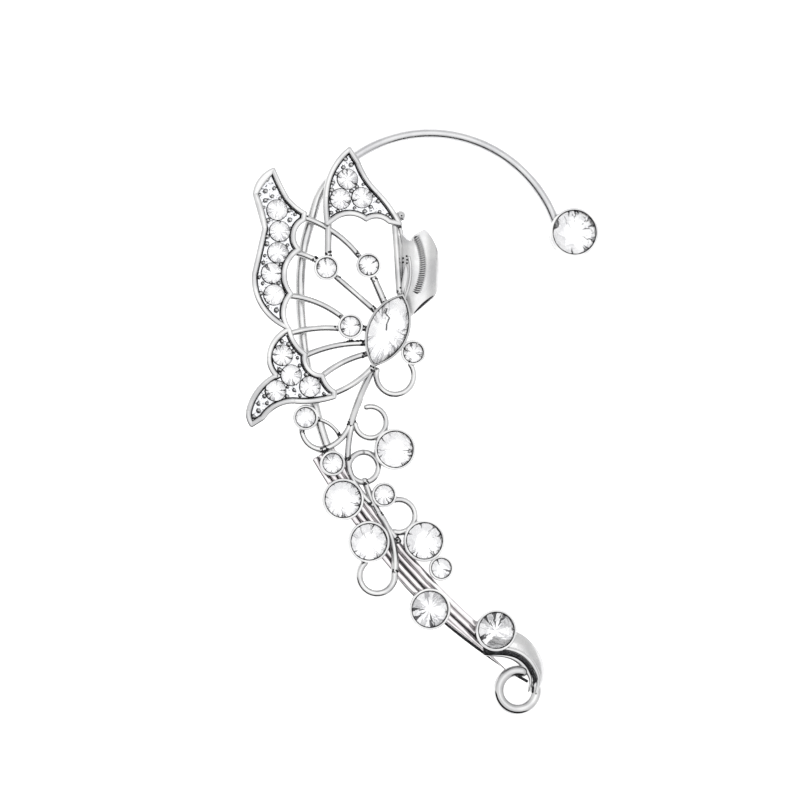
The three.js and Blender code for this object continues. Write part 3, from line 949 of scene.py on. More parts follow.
@dataclass(frozen=True)
class RoundStone:
    """A round rhinestone: eight-fold crown of clear glass over a foiled back."""

    node: str
    x: float
    y: float
    girdle: float
    size: float
    turn: float = 0.0
    cut: StoneCut = SMALL_CUT
    shoulder: float = 0.93
    shoulder_depth: float = 0.95

    def spoke(self, share: float, degrees: float, height: float) -> Vector:
        """Gives a point of the stone.

        Args:
            share: Distance from the axis as a share of the radius.
            degrees: Heading before the stone's own turn.
            height: Height above the lower edge of the girdle.

        Returns:
            The point in millimetres.
        """
        angle = math.radians(degrees + self.turn)
        radius = share * self.size / 2
        x, y = self.x + radius * math.cos(angle), self.y + radius * math.sin(angle)
        return Vector((x, y, self.girdle + height))

    def ring(self, share: float, height: float, count: int, first: float = 0.0) -> list[Vector]:
        """Gives count points at one height, the first a part of a step from the heading."""
        step = 360 / count
        return [self.spoke(share, step * (k + first), height) for k in range(count)]

    def build(self, workshop: Workshop) -> None:
        """Cuts the stone and puts it in place.

        Args:
            workshop: Jig and materials.
        """
        draft = Draft()
        self.build_crown(draft)
        self.build_back(draft)
        name = self.node.replace("stone_", "rhinestone_")
        draft.piece(name, workshop, [self.node])

    def build_crown(self, draft: Draft) -> None:
        """Cuts the table, stars, kites and upper girdle facets.

        Args:
            draft: Draft of the stone.
        """
        count = RIM_SIDES // 2
        top = GIRDLE * self.size
        crown = CROWN * self.size
        cosine = math.cos(math.pi / count)
        waist_height = top + crown * (1 - WAIST * cosine) / (1 - TABLE)
        table = self.ring(TABLE, top + crown, count, 0.5)
        waists = self.ring(WAIST, waist_height, count)
        rim = self.ring(1, top, RIM_SIDES)
        draft.facet(table, Finish.GLASS)
        for k in range(count):
            n = (k + 1) % count
            tip, before, after = rim[2 * k + 1], rim[2 * k], rim[(2 * k + 2) % RIM_SIDES]
            draft.facet([table[k - 1], waists[k], table[k]], Finish.GLASS)
            draft.facet([table[k], waists[k], tip, waists[n]], Finish.GLASS)
            draft.facet([waists[k], before, tip], Finish.GLASS)
            draft.facet([waists[n], tip, after], Finish.GLASS)

    def build_back(self, draft: Draft) -> None:
        """Cuts the foiled back: a wall, a ledge, then flat facets with bright rays and rays of
        painted shade.

        Args:
            draft: Draft of the stone.
        """
        chance = random.Random(self.node)
        depth = PAVILION * self.size
        count = self.cut.sectors
        wall = depth * self.shoulder_depth

        def level(share: float) -> float:
            """Gives the height of the back's cone at a share of the radius."""
            return -wall - (depth - wall) * (1 - share / self.shoulder)

        rim = self.ring(1, GIRDLE * self.size, RIM_SIDES)
        belt = self.ring(1, 0, RIM_SIDES)
        for j in range(RIM_SIDES):
            draft.facet([rim[j - 1], belt[j - 1], belt[j], rim[j]], Finish.FOIL)
        ledge = self.ring(self.shoulder, level(self.shoulder), count)
        self.build_wall(draft, belt, ledge)
        root = self.ring(self.cut.root, level(self.cut.root), count)
        tips = []
        for k in range(count):
            share = chance.uniform(self.cut.tip_from, self.cut.tip_to)
            tips.append(self.spoke(share, 360 / count * (k + 0.5), level(share)))
        culet = self.spoke(0, 0, -depth)
        for k in range(count):
            # Painted shade: some rays get the grey copy of the foil, some the dark copy
            draw = chance.random()
            wedge = Finish.FOIL
            if draw < self.cut.dark_share:
                wedge = Finish.FOIL_PAINTED_SHADE
            elif draw < self.cut.dark_share + self.cut.grey_share:
                wedge = Finish.FOIL_PAINTED_HALF_SHADE
            after = (k + 1) % count
            draft.facet([ledge[k], root[k], root[after], ledge[after]], Finish.FOIL)
            draft.facet([root[k], tips[k], root[after]], wedge)
            # Painted half shade on a few of the lower facets
            kite = Finish.FOIL_PAINTED_HALF_SHADE if chance.random() < self.cut.grey_share / 3 else Finish.FOIL
            draft.facet([culet, tips[k - 1], root[k], tips[k]], kite)

    def build_wall(self, draft: Draft, belt: list[Vector], ledge: list[Vector]) -> None:
        """Joins the girdle to the back's ledge, whose numbers of points differ.

        Args:
            draft: Draft of the stone.
            belt: Lower edge of the girdle.
            ledge: Upper edge of the back's facets.
        """
        i = j = 0
        upper, lower = len(belt), len(ledge)
        while i < upper or j < lower:
            if j >= lower or (i < upper and (i + 1) / upper <= (j + 1) / lower):
                corners = [belt[i % upper], ledge[j % lower], belt[(i + 1) % upper]]
                i += 1
            else:
                corners = [belt[i % upper], ledge[j % lower], ledge[(j + 1) % lower]]
                j += 1
            draft.facet(corners, Finish.FOIL)


@dataclass(frozen=True)
class RoundSetting:
    """A round cup with a rolled lip, and the stone in it."""

    node: str
    x: float
    y: float
    base: float
    size: float
    claws: int = 0
    turn: float = 0.0
    cut: StoneCut = SMALL_CUT

    @property
    def girdle(self) -> float:
        """Height of the lower edge of the stone's girdle."""
        return self.base + SETTING_FLOOR + STONE_CLEARANCE + PAVILION * self.size

    def build(self, draft: Draft, workshop: Workshop) -> None:
        """Adds the cup and its claws to a draft, and cuts the stone that sits in it.

        Args:
            draft: Draft of the settings.
            workshop: Jig and materials.
        """
        self.build_cup(draft)
        self.build_claws(draft)
        RoundStone(
            self.node, self.x, self.y, self.girdle, self.size, self.turn, self.cut
        ).build(workshop)

    def build_cup(self, draft: Draft) -> None:
        """Turns the cup: a tapered wall, a rolled lip and a dark floor inside, painted shade round
        the stone.

        Args:
            draft: Draft of the settings.
        """
        bore = self.size / 2 + STONE_CLEARANCE * 0.5
        wall = self.size / 2 + STONE_CLEARANCE + SETTING_WALL
        top = self.girdle + GIRDLE * self.size + SETTING_LIP
        low, floor = self.base, self.base + SETTING_FLOOR
        profile = [
            (0.0, low), (wall * 0.8, low), (wall * 0.87, low + 0.08), (wall * 0.97, low + 0.5),
            (wall, top - 0.3), (wall, top - 0.1), (wall - 0.05, top - 0.02),
            ((wall + bore) / 2, top), (bore + 0.05, top - 0.03), (bore, top - 0.12),
            (bore, floor), (0.0, floor),
        ]
        # Painted shade: the cup's floor is dark metal, seen in the gap round the stone
        draft.lathe(Vector((self.x, self.y, 0)), profile, dark_from(10), sides=48)

    def build_claws(self, draft: Draft) -> None:
        """Presses small claws over the stone's edge.

        Args:
            draft: Draft of the settings.
        """
        middle = Vector((self.x, self.y, 0))
        for k in range(self.claws):
            out = polar(math.radians(self.turn + 360 * (k + 0.5) / self.claws)).to_3d()
            foot = middle + out * (self.size / 2 + 0.2)
            tip = middle + out * (self.size / 2 - 0.28)
            foot.z, tip.z = self.girdle + 0.05, self.girdle + GIRDLE * self.size + 0.24
            draft.tube([foot, (foot + tip) / 2 + Vector((0, 0, 0.12)), tip], 0.16, sides=8)


@dataclass(frozen=True)
class Beside:
    """A tray's stone beside an earlier one."""

    stone: int
    heading: float


@dataclass(frozen=True)
class WingTray:
    """A wing's tray: polished rim, floor darkened by oxide and painted shade, beads, and a row of
    pavé stones.
    """

    name: str
    node: str
    outline: tuple[Corner, ...]
    first: Place
    beside: tuple[Beside, ...]
    seed: int
    wide_edges: dict[int, float] = field(default_factory=dict)
    rim_half: float = 0.38
    rim_inset: float = 0.05
    rim_height: float = 0.3
    floor_depth: float = 0.22
    groove: float = 0.2
    groove_depth: float = 0.3
    bead: float = 0.29
    bead_sizes: tuple[float, float] = (0.6, 1.1)
    bead_rise: float = 0.08
    bead_gap: float = 0.9
    bead_tries: int = 6000
    # Painted shadows: a dark disc under each bead and a dark ring round each stone, this much wider
    shadow_line: float = 0.08
    line_levels: tuple[float, float] = (-0.1, 0.02)
    seat_level: float = 0.2

    def stone_places(self) -> list[Vector]:
        """Gives the middles of the tray's stones.

        Returns:
            A flat place for each stone.
        """
        places = [self.first.flat(WING_REACH)]
        for row in self.beside:
            step = polar(math.radians(row.heading), PAVE_STONE + STONE_GAP)
            places.append(places[row.stone] + step)
        return places

    def build(self, workshop: Workshop) -> None:
        """Builds the tray and sets its stones.

        Args:
            workshop: Jig and materials.
        """
        draft = Draft()
        edge = outline_points(self.outline, WING_REACH)
        self.build_pan(draft, edge)
        self.build_rim(draft)
        places = self.stone_places()
        self.build_beads(draft, edge, places)
        draft.piece(self.name, workshop)
        for i, place in enumerate(places):
            base = lift(place.x, place.y) + TRAY_SEAT + STONE_CLEARANCE
            girdle = base + PAVILION * PAVE_STONE
            node = f"stone_{self.node}_{i + 1}"
            turn = 17.0 * i + self.seed * 5
            RoundStone(node, place.x, place.y, girdle, PAVE_STONE, turn).build(workshop)

    def build_pan(self, draft: Draft, edge: list[Vector]) -> None:
        """Builds the pan: underside, side, the groove inside the rim, dark with oxide and painted
        shade, and the floor.

        Args:
            draft: Draft of the tray.
            edge: Points round the tray.
        """
        inner_edge = self.rim_half * 0.9 + self.rim_inset
        inner = inset(edge, inner_edge)
        ledge = inset(edge, inner_edge + self.groove)
        floor = TRAY_THICKNESS - self.floor_depth
        low = floor - self.groove_depth
        rings = [
            on_dome(points, height) for points, height in (
                (edge, 0.0), (edge, TRAY_THICKNESS), (inner, TRAY_THICKNESS), (inner, low),
                (ledge, low), (ledge, floor),
            )
        ]
        draft.loft(rings, dark_from(2), capped=False)
        draft.sheet(edge, lift, Finish.PLATE)
        holes = [(place, PAVE_STONE / 2 + self.shadow_line) for place in self.stone_places()]
        draft.sheet(ledge, lambda x, y: lift(x, y) + floor, Finish.GRAINED, holes)

    def build_rim(self, draft: Draft) -> None:
        """Runs the polished rim along each stretch of the outline.

        Args:
            draft: Draft of the tray.
        """
        for i, arc in enumerate(stretches(self.outline, WING_REACH)):
            wide = self.wide_edges.get(i, 0.0)

            def half(share: float, wide: float = wide) -> float:
                """Gives the rim's half width, broader in the middle of a wide stretch."""
                return self.rim_half + wide * wave(min(1, share), 0.7)

            steps = arc.steps()
            shares = [k / steps for k in range(steps + 1)]
            points = [arc.at(s, self.rim_inset + half(s) - self.rim_half) for s in shares]
            draft.tube(on_dome(points, TRAY_THICKNESS), half, self.rim_height, square=0.75)

    def build_beads(self, draft: Draft, edge: list[Vector], places: list[Vector]) -> None:
        """Raises beads in every space that the stones leave, as a pavé setter does.

        Args:
            draft: Draft of the tray.
            edge: Points round the tray.
            places: Middles of its stones.
        """
        chance = random.Random(self.seed)
        low = Vector((min(p.x for p in edge), min(p.y for p in edge)))
        high = Vector((max(p.x for p in edge), max(p.y for p in edge)))
        beads: list[Vector] = []
        clear_of_stone = PAVE_STONE / 2 + self.bead * 0.8
        clear_of_rim = self.rim_half + self.rim_inset + self.bead * 0.8
        for _ in range(self.bead_tries):
            x, y = chance.uniform(low.x, high.x), chance.uniform(low.y, high.y)
            place = Vector((x, y))
            if not inside(edge, x, y) or edge_distance(edge, x, y) < clear_of_rim:
                continue
            if any((place - stone).length < clear_of_stone for stone in places):
                continue
            if all((place - bead).length >= self.bead_gap for bead in beads):
                beads.append(place)
        floor = TRAY_THICKNESS - self.floor_depth
        for middle in on_dome(beads, floor):
            radius = self.bead * chance.uniform(*self.bead_sizes)
            draft.bead(middle + Vector((0, 0, self.bead_rise)), radius)
            # Painted shadow: a dark disc under each bead
            outer = radius + self.shadow_line
            low_line, high_line = self.line_levels
            rows = [(0.0, low_line), (outer, low_line), (outer, high_line), (0.0, high_line)]
            draft.lathe(middle, rows, Finish.OXIDE_AND_PAINTED_SHADE)
        # Painted shadow: a dark well round each stone, seen as a ring between stone and floor
        outer = PAVE_STONE / 2 + self.shadow_line
        rows = [(outer, floor), (outer, self.seat_level), (0.0, self.seat_level)]
        for middle in on_dome(places, 0.0):
            draft.lathe(middle, rows, Finish.OXIDE_AND_PAINTED_SHADE, HOLE_SIDES, capped=False)


@dataclass(frozen=True)
class Wire:
    """A round wire along an arc, as shares of a reach."""

    arc: Arc
    diameter: float
    rise: float = 0.0


@dataclass(frozen=True)
class WingRibs:
    """The ribs between the wings' trays and the body, with three stones on them."""

    wires: tuple[Wire, ...] = (
        Wire(Arc(-0.435, 0.566, -0.14, 0.345, -0.17), RIB_WIRE),
        Wire(Arc(-0.48, 0.39, -0.325, 0.32, -0.1), RIB_WIRE),
        Wire(Arc(-0.333, 0.318, -0.038, 0.062), RIB_WIRE),
        Wire(Arc(-0.515, 0.172, -0.205, 0.03, -0.18), RIB_WIRE),
        Wire(Arc(-0.2, 0.02, -0.06, 0.005), RIB_WIRE),
        Wire(Arc(-0.115, 0.325, -0.01, 0.08), STEM_WIRE),
        Wire(Arc(-0.31, 0.56, -0.315, 0.325), BAR_WIRE),
        Wire(Arc(0.02, 0.57, 0.045, 0.1), EDGE_WIRE),
        Wire(Arc(0.045, 0.54, 0.065, 0.12, -0.09), FINE_WIRE),
        Wire(Arc(-0.52, -0.021, -0.2, 0.001, -0.13), RIB_WIRE),
        Wire(Arc(-0.435, -0.13, -0.06, -0.068, -0.15), RIB_WIRE),
        Wire(Arc(-0.355, -0.236, -0.05, -0.105, -0.17), RIB_WIRE),
        Wire(Arc(-0.31, -0.32, -0.06, -0.14, 0.16), RIB_WIRE),
    )
    flux: tuple[float, float, float, float] = (-4.9, -1.42, 1.1, 0.14)
    flux_grains: int = 16
    flux_sizes: tuple[float, float] = (0.1, 0.2)
    stones: tuple[Place, ...] = (
        Place(-0.325, 0.31), Place(-0.115, 0.325), Place(-0.208, 0.02),
    )

    def build(self, workshop: Workshop) -> None:
        """Draws the ribs and sets their stones.

        Args:
            workshop: Jig and materials.
        """
        draft = Draft()
        for wire in self.wires:
            points = wire.arc.scaled(WING_REACH).points()
            draft.wire(on_dome(points, TRAY_THICKNESS / 2), wire.diameter)
        chance = random.Random("flux")
        x, y, wide, high = self.flux
        for _ in range(self.flux_grains):
            place = Vector((x + chance.uniform(-wide, wide), y + chance.uniform(-high, high)))
            grain = on_dome([place], TRAY_THICKNESS * 0.7)[0]
            draft.bead(grain, chance.uniform(*self.flux_sizes), Finish.OXIDE_AND_PAINTED_SHADE)
        draft.piece("wing_ribs", workshop)
        cups = Draft()
        for i, stone in enumerate(self.stones):
            x, y = stone.x * WING_REACH, stone.y * WING_REACH
            node = f"stone_rib_{i + 1}"
            setting = RoundSetting(node, x, y, lift(x, y), SMALL_STONE, turn=11.0 * i)
            setting.build(cups, workshop)
        cups.piece("rib_settings", workshop)


@dataclass(frozen=True)
class ButterflyBody:
    """The pointed oval body stone in its setting, the head stone and the curl below it."""

    head: Place = Place(0.107, -0.107)
    curl: Ring = Ring(0.02, -0.22, 0.094, 40, -195)
    seat: float = BODY_RISE + SETTING_FLOOR + STONE_CLEARANCE
    arc_points: int = 12
    waist_rise: float = 0.55
    # Rings of the foiled back, as shares of the stone's size and of the back's depth
    ledge: tuple[float, float] = (0.92, 0.95)
    keel: tuple[float, float] = (0.4, 0.98)
    # A dark streak of painted shade fills this part of a facet of the back
    streak: tuple[float, float] = (0.4, 0.62)
    streak_share: float = 0.12
    # One in grey_in facets of the back gets painted half shade
    grey_in: int = 5
    # Painted shade: a dark jagged line on the back, the shaded edge between two facets
    painted_shade_line: tuple[tuple[float, float], ...] = (
        (-0.54, 2.68), (-0.66, 2.05), (-0.38, 1.7), (-0.72, 0.9), (-0.79, 0.0),
    )
    painted_shade_line_half: float = 0.1
    painted_shade_line_depth: float = 0.9

    def oval(self, scale: float, height: float, margin: float = 0.0, count: int = 0) -> list[Vector]:
        """Gives a ring of the pointed oval.

        Args:
            scale: Size of the ring as a share of the stone.
            height: Height of the ring.
            margin: Distance added all round.
            count: Points of each side, or 0 for the stone's own number.

        Returns:
            Points round the oval.
        """
        half = (MARQUISE_LENGTH / 2) * scale + margin
        waist = (MARQUISE_WIDTH / 2) * scale + margin
        points: list[Vector] = []
        count = count or self.arc_points
        for arc in (Arc(-half, 0, half, 0, waist / half), Arc(half, 0, -half, 0, waist / half)):
            points += [arc.at(i / count) for i in range(count)]
        angle = math.radians(MARQUISE_HEADING)
        c, s = math.cos(angle), math.sin(angle)
        middle = MARQUISE_PLACE.flat(WING_REACH)
        return [
            Vector((middle.x + p.x * c - p.y * s, middle.y + p.x * s + p.y * c, height))
            for p in points
        ]

    def build(self, workshop: Workshop) -> None:
        """Builds the body's metal and its stones.

        Args:
            workshop: Jig and materials.
        """
        girdle = self.seat + PAVILION * MARQUISE_WIDTH
        self.build_stone(workshop, girdle)
        draft = Draft()
        top = girdle + GIRDLE * MARQUISE_WIDTH + SETTING_LIP
        wall, bore = STONE_CLEARANCE + SETTING_WALL, STONE_CLEARANCE * 0.6
        rows = [
            (wall - 0.5, BODY_RISE), (wall - 0.15, BODY_RISE + 0.05), (wall - 0.05, BODY_RISE + 0.6),
            (wall, top - 0.3), (wall - 0.03, top - 0.06), ((wall + bore) / 2, top),
            (bore + 0.03, top - 0.05), (bore, top - 0.15), (bore, BODY_RISE + SETTING_FLOOR),
            (-MARQUISE_WIDTH * 0.35, BODY_RISE + SETTING_FLOOR),
        ]
        rings = [self.oval(1.0, height, margin, 24) for margin, height in rows]
        # Painted shade: the setting's bore and floor are dark metal, seen round the stone
        draft.loft(rings, dark_from(7))
        draft.piece("body_setting", workshop)

        head = Draft()
        x, y = self.head.x * WING_REACH, self.head.y * WING_REACH
        setting = RoundSetting("stone_head", x, y, lift(x, y), SMALL_STONE, claws=4, turn=20)
        setting.build(head, workshop)
        path = on_dome(self.curl.points(WING_REACH), TRAY_THICKNESS / 2)
        head.wire(path, RIB_WIRE, soldered=False)
        head.piece("head_setting_and_curl", workshop)

    def build_stone(self, workshop: Workshop, girdle: float) -> None:
        """Cuts the body stone: a broad table, two rows of crown facets, a foiled back with painted
        shade.

        Args:
            workshop: Jig and materials.
            girdle: Height of the lower edge of the girdle.
        """
        draft = Draft()
        top = girdle + GIRDLE * MARQUISE_WIDTH
        count = self.arc_points * 2
        crown, depth = CROWN * MARQUISE_WIDTH, PAVILION * MARQUISE_WIDTH
        rim = self.oval(1.0, top)
        low_rim = self.oval(1.0, girdle)
        table = self.oval(TABLE, top + crown)[::2]
        waist = self.oval(WAIST, top + crown * self.waist_rise)[1::2]
        ledge = self.oval(self.ledge[0], girdle - depth * self.ledge[1])
        keel = self.oval(self.keel[0], girdle - depth * self.keel[1])[1::2]
        middle = sum(rim, Vector((0, 0, 0))) / count
        culet = Vector((middle.x, middle.y, girdle - depth))
        draft.facet(table, Finish.GLASS)
        chance = random.Random("marquise")
        tones = (*[Finish.FOIL] * (self.grey_in - 1), Finish.FOIL_PAINTED_HALF_SHADE)
        half = count // 2
        for k in range(half):
            n, at, beside, far = (k + 1) % half, 2 * k, 2 * k + 1, (2 * k + 2) % count
            draft.facet([table[k], waist[k], table[n]], Finish.GLASS)
            draft.facet([table[k], waist[k - 1], rim[at], waist[k]], Finish.GLASS)
            for a, b in ((at, beside), (beside, far)):
                draft.facet([waist[k], rim[a], rim[b]], Finish.GLASS)
                draft.facet([rim[a], low_rim[a], low_rim[b], rim[b]], Finish.FOIL)
                draft.facet([low_rim[a], ledge[a], ledge[b], low_rim[b]], Finish.FOIL)
                # Painted shade: dark streaks in some facets, grey tones in others
                near, far_side = [ledge[a].lerp(ledge[b], share) for share in self.streak]
                streak = Finish.FOIL_PAINTED_SHADE if chance.random() < self.streak_share else Finish.FOIL
                tone = chance.choice(tones)
                draft.facet([keel[k], near, ledge[a]], tone)
                draft.facet([keel[k], far_side, near], streak)
                draft.facet([keel[k], ledge[b], far_side], tone)
            draft.facet([keel[k - 1], keel[k], ledge[at]], Finish.FOIL)
            draft.facet([keel[k - 1], culet, keel[k]], Finish.FOIL)
        # Painted shade: a dark jagged line along the back
        line = raised([Vector(row) for row in self.painted_shade_line], girdle - depth * self.painted_shade_line_depth)
        wide = Vector((self.painted_shade_line_half, 0, 0))
        for start, end in zip(line, line[1:]):
            draft.facet([start - wide, start + wide, end + wide, end - wide], Finish.FOIL_PAINTED_SHADE)
        draft.piece("rhinestone_body_marquise", workshop, ["stone_body_marquise"])


@dataclass(frozen=True)
class EarClip:
    """The band bent to an open C beside the body, with a rope of grains along its top."""

    outline: tuple[Corner, ...] = (
        Corner(0.02, 0.53, 0), Corner(0.08, 0.452, 0), Corner(0.108, 0.45, 0),
        Corner(0.125, 0.49, 0), Corner(0.165, 0.51, -0.36),
        Corner(0.215, 0.17, 0), Corner(0.11, 0.08, 0), Corner(0.02, 0.14, 0),
    )
    rope: Arc = Arc(0.122, 0.469, 0.122, 0.191, -0.24)
    strands: int = 26
    slant: float = 0.018
    strand_half: float = 0.42
    strand_rise: float = 0.12
    leaf: Arc = Arc(1.95, 8.9, 1.45, 4.9, -0.1)
    brace: Arc = Arc(2.35, 9.9, 1.75, 4.4, -0.16)
    # Painted shadow: a dark line along the band's lower edge
    painted_shadow_edge: Arc = Arc(0.208, 0.176, 0.112, 0.09, 0.05)
    dots: tuple[tuple[float, float], ...] = (
        (1.62, 9.85), (1.62, 9.3), (2.05, 10.1), (2.1, 9.6), (2.08, 9.15), (2.42, 9.8),
    )
    dot: float = 0.14
    bend_steps: tuple[int, int] = (48, 16)
    strip_x: float = 0.065
    strip_y: float = 0.33
    half_width: float = 2.9
    band: float = 0.6
    bend: float = 150.0
    ball: float = 1.45
    stub: Arc = Arc(0.03, 0.565, 0.053, 0.58)

    def span(self, edge: list[Vector], x: float) -> tuple[float, float]:
        """Gives the lowest and highest Y of the outline at an X.

        Args:
            edge: Points round the outline.
            x: Where it is cut.

        Returns:
            The lowest and the highest Y.
        """
        crossings = []
        for a, b in around(edge):
            if (a.x > x) != (b.x > x):
                crossings.append(a.y + (b.y - a.y) * (x - a.x) / (b.x - a.x))
        return min(crossings), max(crossings)

    def build(self, workshop: Workshop) -> None:
        """Bends the band, lays the rope on it and adds the ball beside it.

        Args:
            workshop: Jig and materials.
        """
        draft = Draft()
        edge = outline_points(self.outline, WING_REACH)
        low_x, high_x = min(p.x for p in edge), max(p.x for p in edge)
        strip_x, strip_y = self.strip_x * WING_REACH, self.strip_y * WING_REACH
        level = lift(strip_x, strip_y) + TRAY_THICKNESS / 2
        half_height = level / (1 + math.sin(math.radians(self.bend)))
        middle = strip_x - self.half_width * math.cos(math.radians(self.bend)) - self.band / 2
        sections, rows = self.bend_steps
        rings = []
        for i in range(sections + 1):
            angle = math.radians(self.bend - 2 * self.bend * i / sections)
            c, s = math.cos(angle), math.sin(angle)
            x = min(high_x - 0.03, max(low_x + 0.02, middle + c * self.half_width))
            low, high = self.span(edge, x)
            ring = []
            for shrink, order in ((0.0, range(rows + 1)), (self.band, range(rows, -1, -1))):
                for k in order:
                    height = half_height + s * (half_height - shrink)
                    across = middle + c * (self.half_width - shrink)
                    shade = min(across, x) if shrink == 0 else across
                    ring.append(Vector((shade, low + (high - low) * k / rows, height)))
            rings.append(ring)
        draft.loft(rings, Finish.SATIN_PLATE)

        def over(points: Sequence[Vector], gap: float) -> list[Vector]:
            """Lays flat points on the band's upper face.

            Args:
                points: Points to lay.
                gap: Room below them, negative where they are sunk.

            Returns:
                The laid points.
            """
            laid = []
            for p in points:
                across = min(1.0, abs(p.x - middle) / self.half_width)
                top = half_height * (1 + math.sqrt(1 - across * across))
                laid.append(Vector((p.x, p.y, top + gap)))
            return laid

        self.build_rope(draft, over)
        for place in over([Vector(row) for row in self.dots], 0.02):
            draft.bead(place, self.dot, Finish.OXIDE_AND_PAINTED_SHADE)
        leaf = over(self.leaf.points(), 0.02)
        draft.tube(leaf, lambda share: 0.08 + 0.36 * wave(share, 0.8), 0.12)
        draft.tube(over(self.brace.points(), 0.04), 0.2, finish=Finish.SATIN_PLATE)
        # Painted shadow along the lower edge of the band
        painted_shadow_edge = over(self.painted_shadow_edge.scaled(WING_REACH).points(), 0.02)
        draft.tube(painted_shadow_edge, lambda share: 0.06 + 0.12 * wave(share), 0.1, Finish.OXIDE_AND_PAINTED_SHADE)
        draft.piece("ear_clip", workshop)
        self.build_ball(workshop)

    def build_rope(
        self, draft: Draft, over: Callable[[Sequence[Vector], float], list[Vector]]
    ) -> None:
        """Twists the rope: short slanting strands over a dark core, painted shade that shows between
        them.

        Args:
            draft: Draft of the clip.
            over: Lays flat points on the band's upper face.
        """
        rope = self.rope.scaled(WING_REACH)
        # Painted shade: a dark core under the strands
        draft.tube(over(rope.points(), -0.05), 0.36, 0.14, Finish.OXIDE_AND_PAINTED_SHADE)
        for k in range(self.strands):
            share = (k + 0.5) / self.strands
            slants = ((-self.slant, -self.strand_half), (0, 0), (self.slant, self.strand_half))
            path = over([rope.at(share + along, side) for along, side in slants], -0.02)
            path[1].z += self.strand_rise
            draft.tube(path, 0.115, 0.12, Finish.SATIN_PLATE, sides=8)

    def build_ball(self, workshop: Workshop) -> None:
        """Turns the small ball on its stub.

        Args:
            workshop: Jig and materials.
        """
        small = Draft()
        path = on_dome(self.stub.scaled(WING_REACH).points(), TRAY_THICKNESS / 2)
        small.tube(path, FINE_WIRE / 2)
        bends = [math.radians(-88 + 16 * k) for k in range(12)]
        radius = self.ball / 2
        small.lathe(path[-1], [(radius * math.cos(b), radius * math.sin(b)) for b in bends])
        # A dark dot in the middle of the ball's top
        dark_dot = path[-1] + Vector((0.02, -0.05, radius - 0.05))
        small.bead(dark_dot, self.dot, Finish.OXIDE_AND_PAINTED_SHADE)
        small.piece("small_ball", workshop)


@dataclass(frozen=True)
class Spray:
    """The vine below the butterfly: stem, bows, curls, and ten stones in round cups."""

    vines: tuple[Wire, ...] = (
        Wire(Arc(-0.02, -0.05, -0.095, -0.23, 0.07), STEM_WIRE, 1),
        Wire(Arc(-0.095, -0.225, -0.163, -0.293, -0.25), VINE_WIRE),
        Wire(Arc(-0.16, -0.293, -0.213, -0.22, -0.6), VINE_WIRE),
        Wire(Arc(-0.19, -0.217, -0.122, -0.262, -0.3), FINE_WIRE),
        Wire(Arc(-0.163, -0.293, -0.142, -0.328), VINE_WIRE),
        Wire(Arc(-0.09, -0.22, -0.103, -0.32, 0.05), VINE_WIRE),
        Wire(Arc(-0.103, -0.31, -0.04, -0.43, 0.22), VINE_WIRE),
        Wire(Arc(-0.06, -0.37, 0.025, -0.52, 0.1), EDGE_WIRE),
        Wire(Arc(-0.025, -0.45, 0.0152, -0.602, -0.2), BAR_WIRE),
    )
    curls: tuple[tuple[Ring, float], ...] = (
        (Ring(-0.045, -0.225, 0.039, 106, -173), VINE_WIRE),
        (Ring(-0.0625, -0.337, 0.037, 95, -95), VINE_WIRE),
        (Ring(-0.0625, -0.337, 0.037, 85, 275), VINE_WIRE),
        (Ring(0.026, -0.458, 0.041, 110, -105), EDGE_WIRE),
        (Ring(-0.029, -0.607, 0.044, 6, -226), BAR_WIRE),
    )
    stones: tuple[tuple[Place, float], ...] = (
        (Place(-0.21, -0.215), SMALL_STONE), (Place(-0.142, -0.328), SMALL_STONE),
        (Place(-0.118, -0.418), LARGE_STONE), (Place(0.0125, -0.293), LARGE_STONE),
        (Place(-0.0125, -0.406), SMALL_STONE),
    )
    rod_stones: tuple[tuple[float, float, float], ...] = (
        (0.371, 0.4, LARGE_STONE), (0.507, -0.886, LARGE_STONE), (0.637, -0.97, SMALL_STONE),
        (0.716, 0.367, LARGE_STONE), (0.964, -0.505, LARGE_STONE),
    )
    bold: tuple[str, ...] = ("stone_spray_9", "stone_spray_10")

    def stone_rows(self) -> list[tuple[float, float, float]]:
        """Gives the X, Y and size of each of the spray's stones.

        Returns:
            A row for each stone.
        """
        rows = [(p.x * SPRAY_REACH, p.y * SPRAY_REACH, size) for p, size in self.stones]
        bundle = ((Rods.count - 1) * Rods.pitch + 1) * ROD_WIRE / 2
        for along, side, size in self.rod_stones:
            offset = side * (bundle + size / 2 + STONE_CLEARANCE + SETTING_WALL)
            place = Rods.line.scaled(SPRAY_REACH).at(along, offset)
            rows.append((place.x, place.y, size))
        return rows

    def build(self, workshop: Workshop) -> None:
        """Draws the vine and sets its stones.

        Args:
            workshop: Jig and materials.
        """
        draft = Draft()
        for wire in self.vines:
            path = raised(wire.arc.scaled(SPRAY_REACH).points(), SPRAY_WIRE_LEVEL)
            for i, point in enumerate(path):
                share = 1 - i / (len(path) - 1)
                point.z += wire.rise * share * (BODY_RISE - SPRAY_BASE)
            draft.wire(path, wire.diameter)
        for ring, diameter in self.curls:
            path = raised(ring.points(SPRAY_REACH), SPRAY_WIRE_LEVEL)
            draft.wire(path, diameter, soldered=False)
        draft.piece("spray_vine", workshop)
        cups = Draft()
        for i, (x, y, size) in enumerate(self.stone_rows()):
            node = f"stone_spray_{i + 1}"
            cut = SMALL_CUT if size == SMALL_STONE else FINE_CUT
            cut = BOLD_CUT if node in self.bold else cut
            setting = RoundSetting(node, x, y, SPRAY_BASE, size, turn=13.0 * i, cut=cut)
            setting.build(cups, workshop)
        cups.piece("spray_settings", workshop)


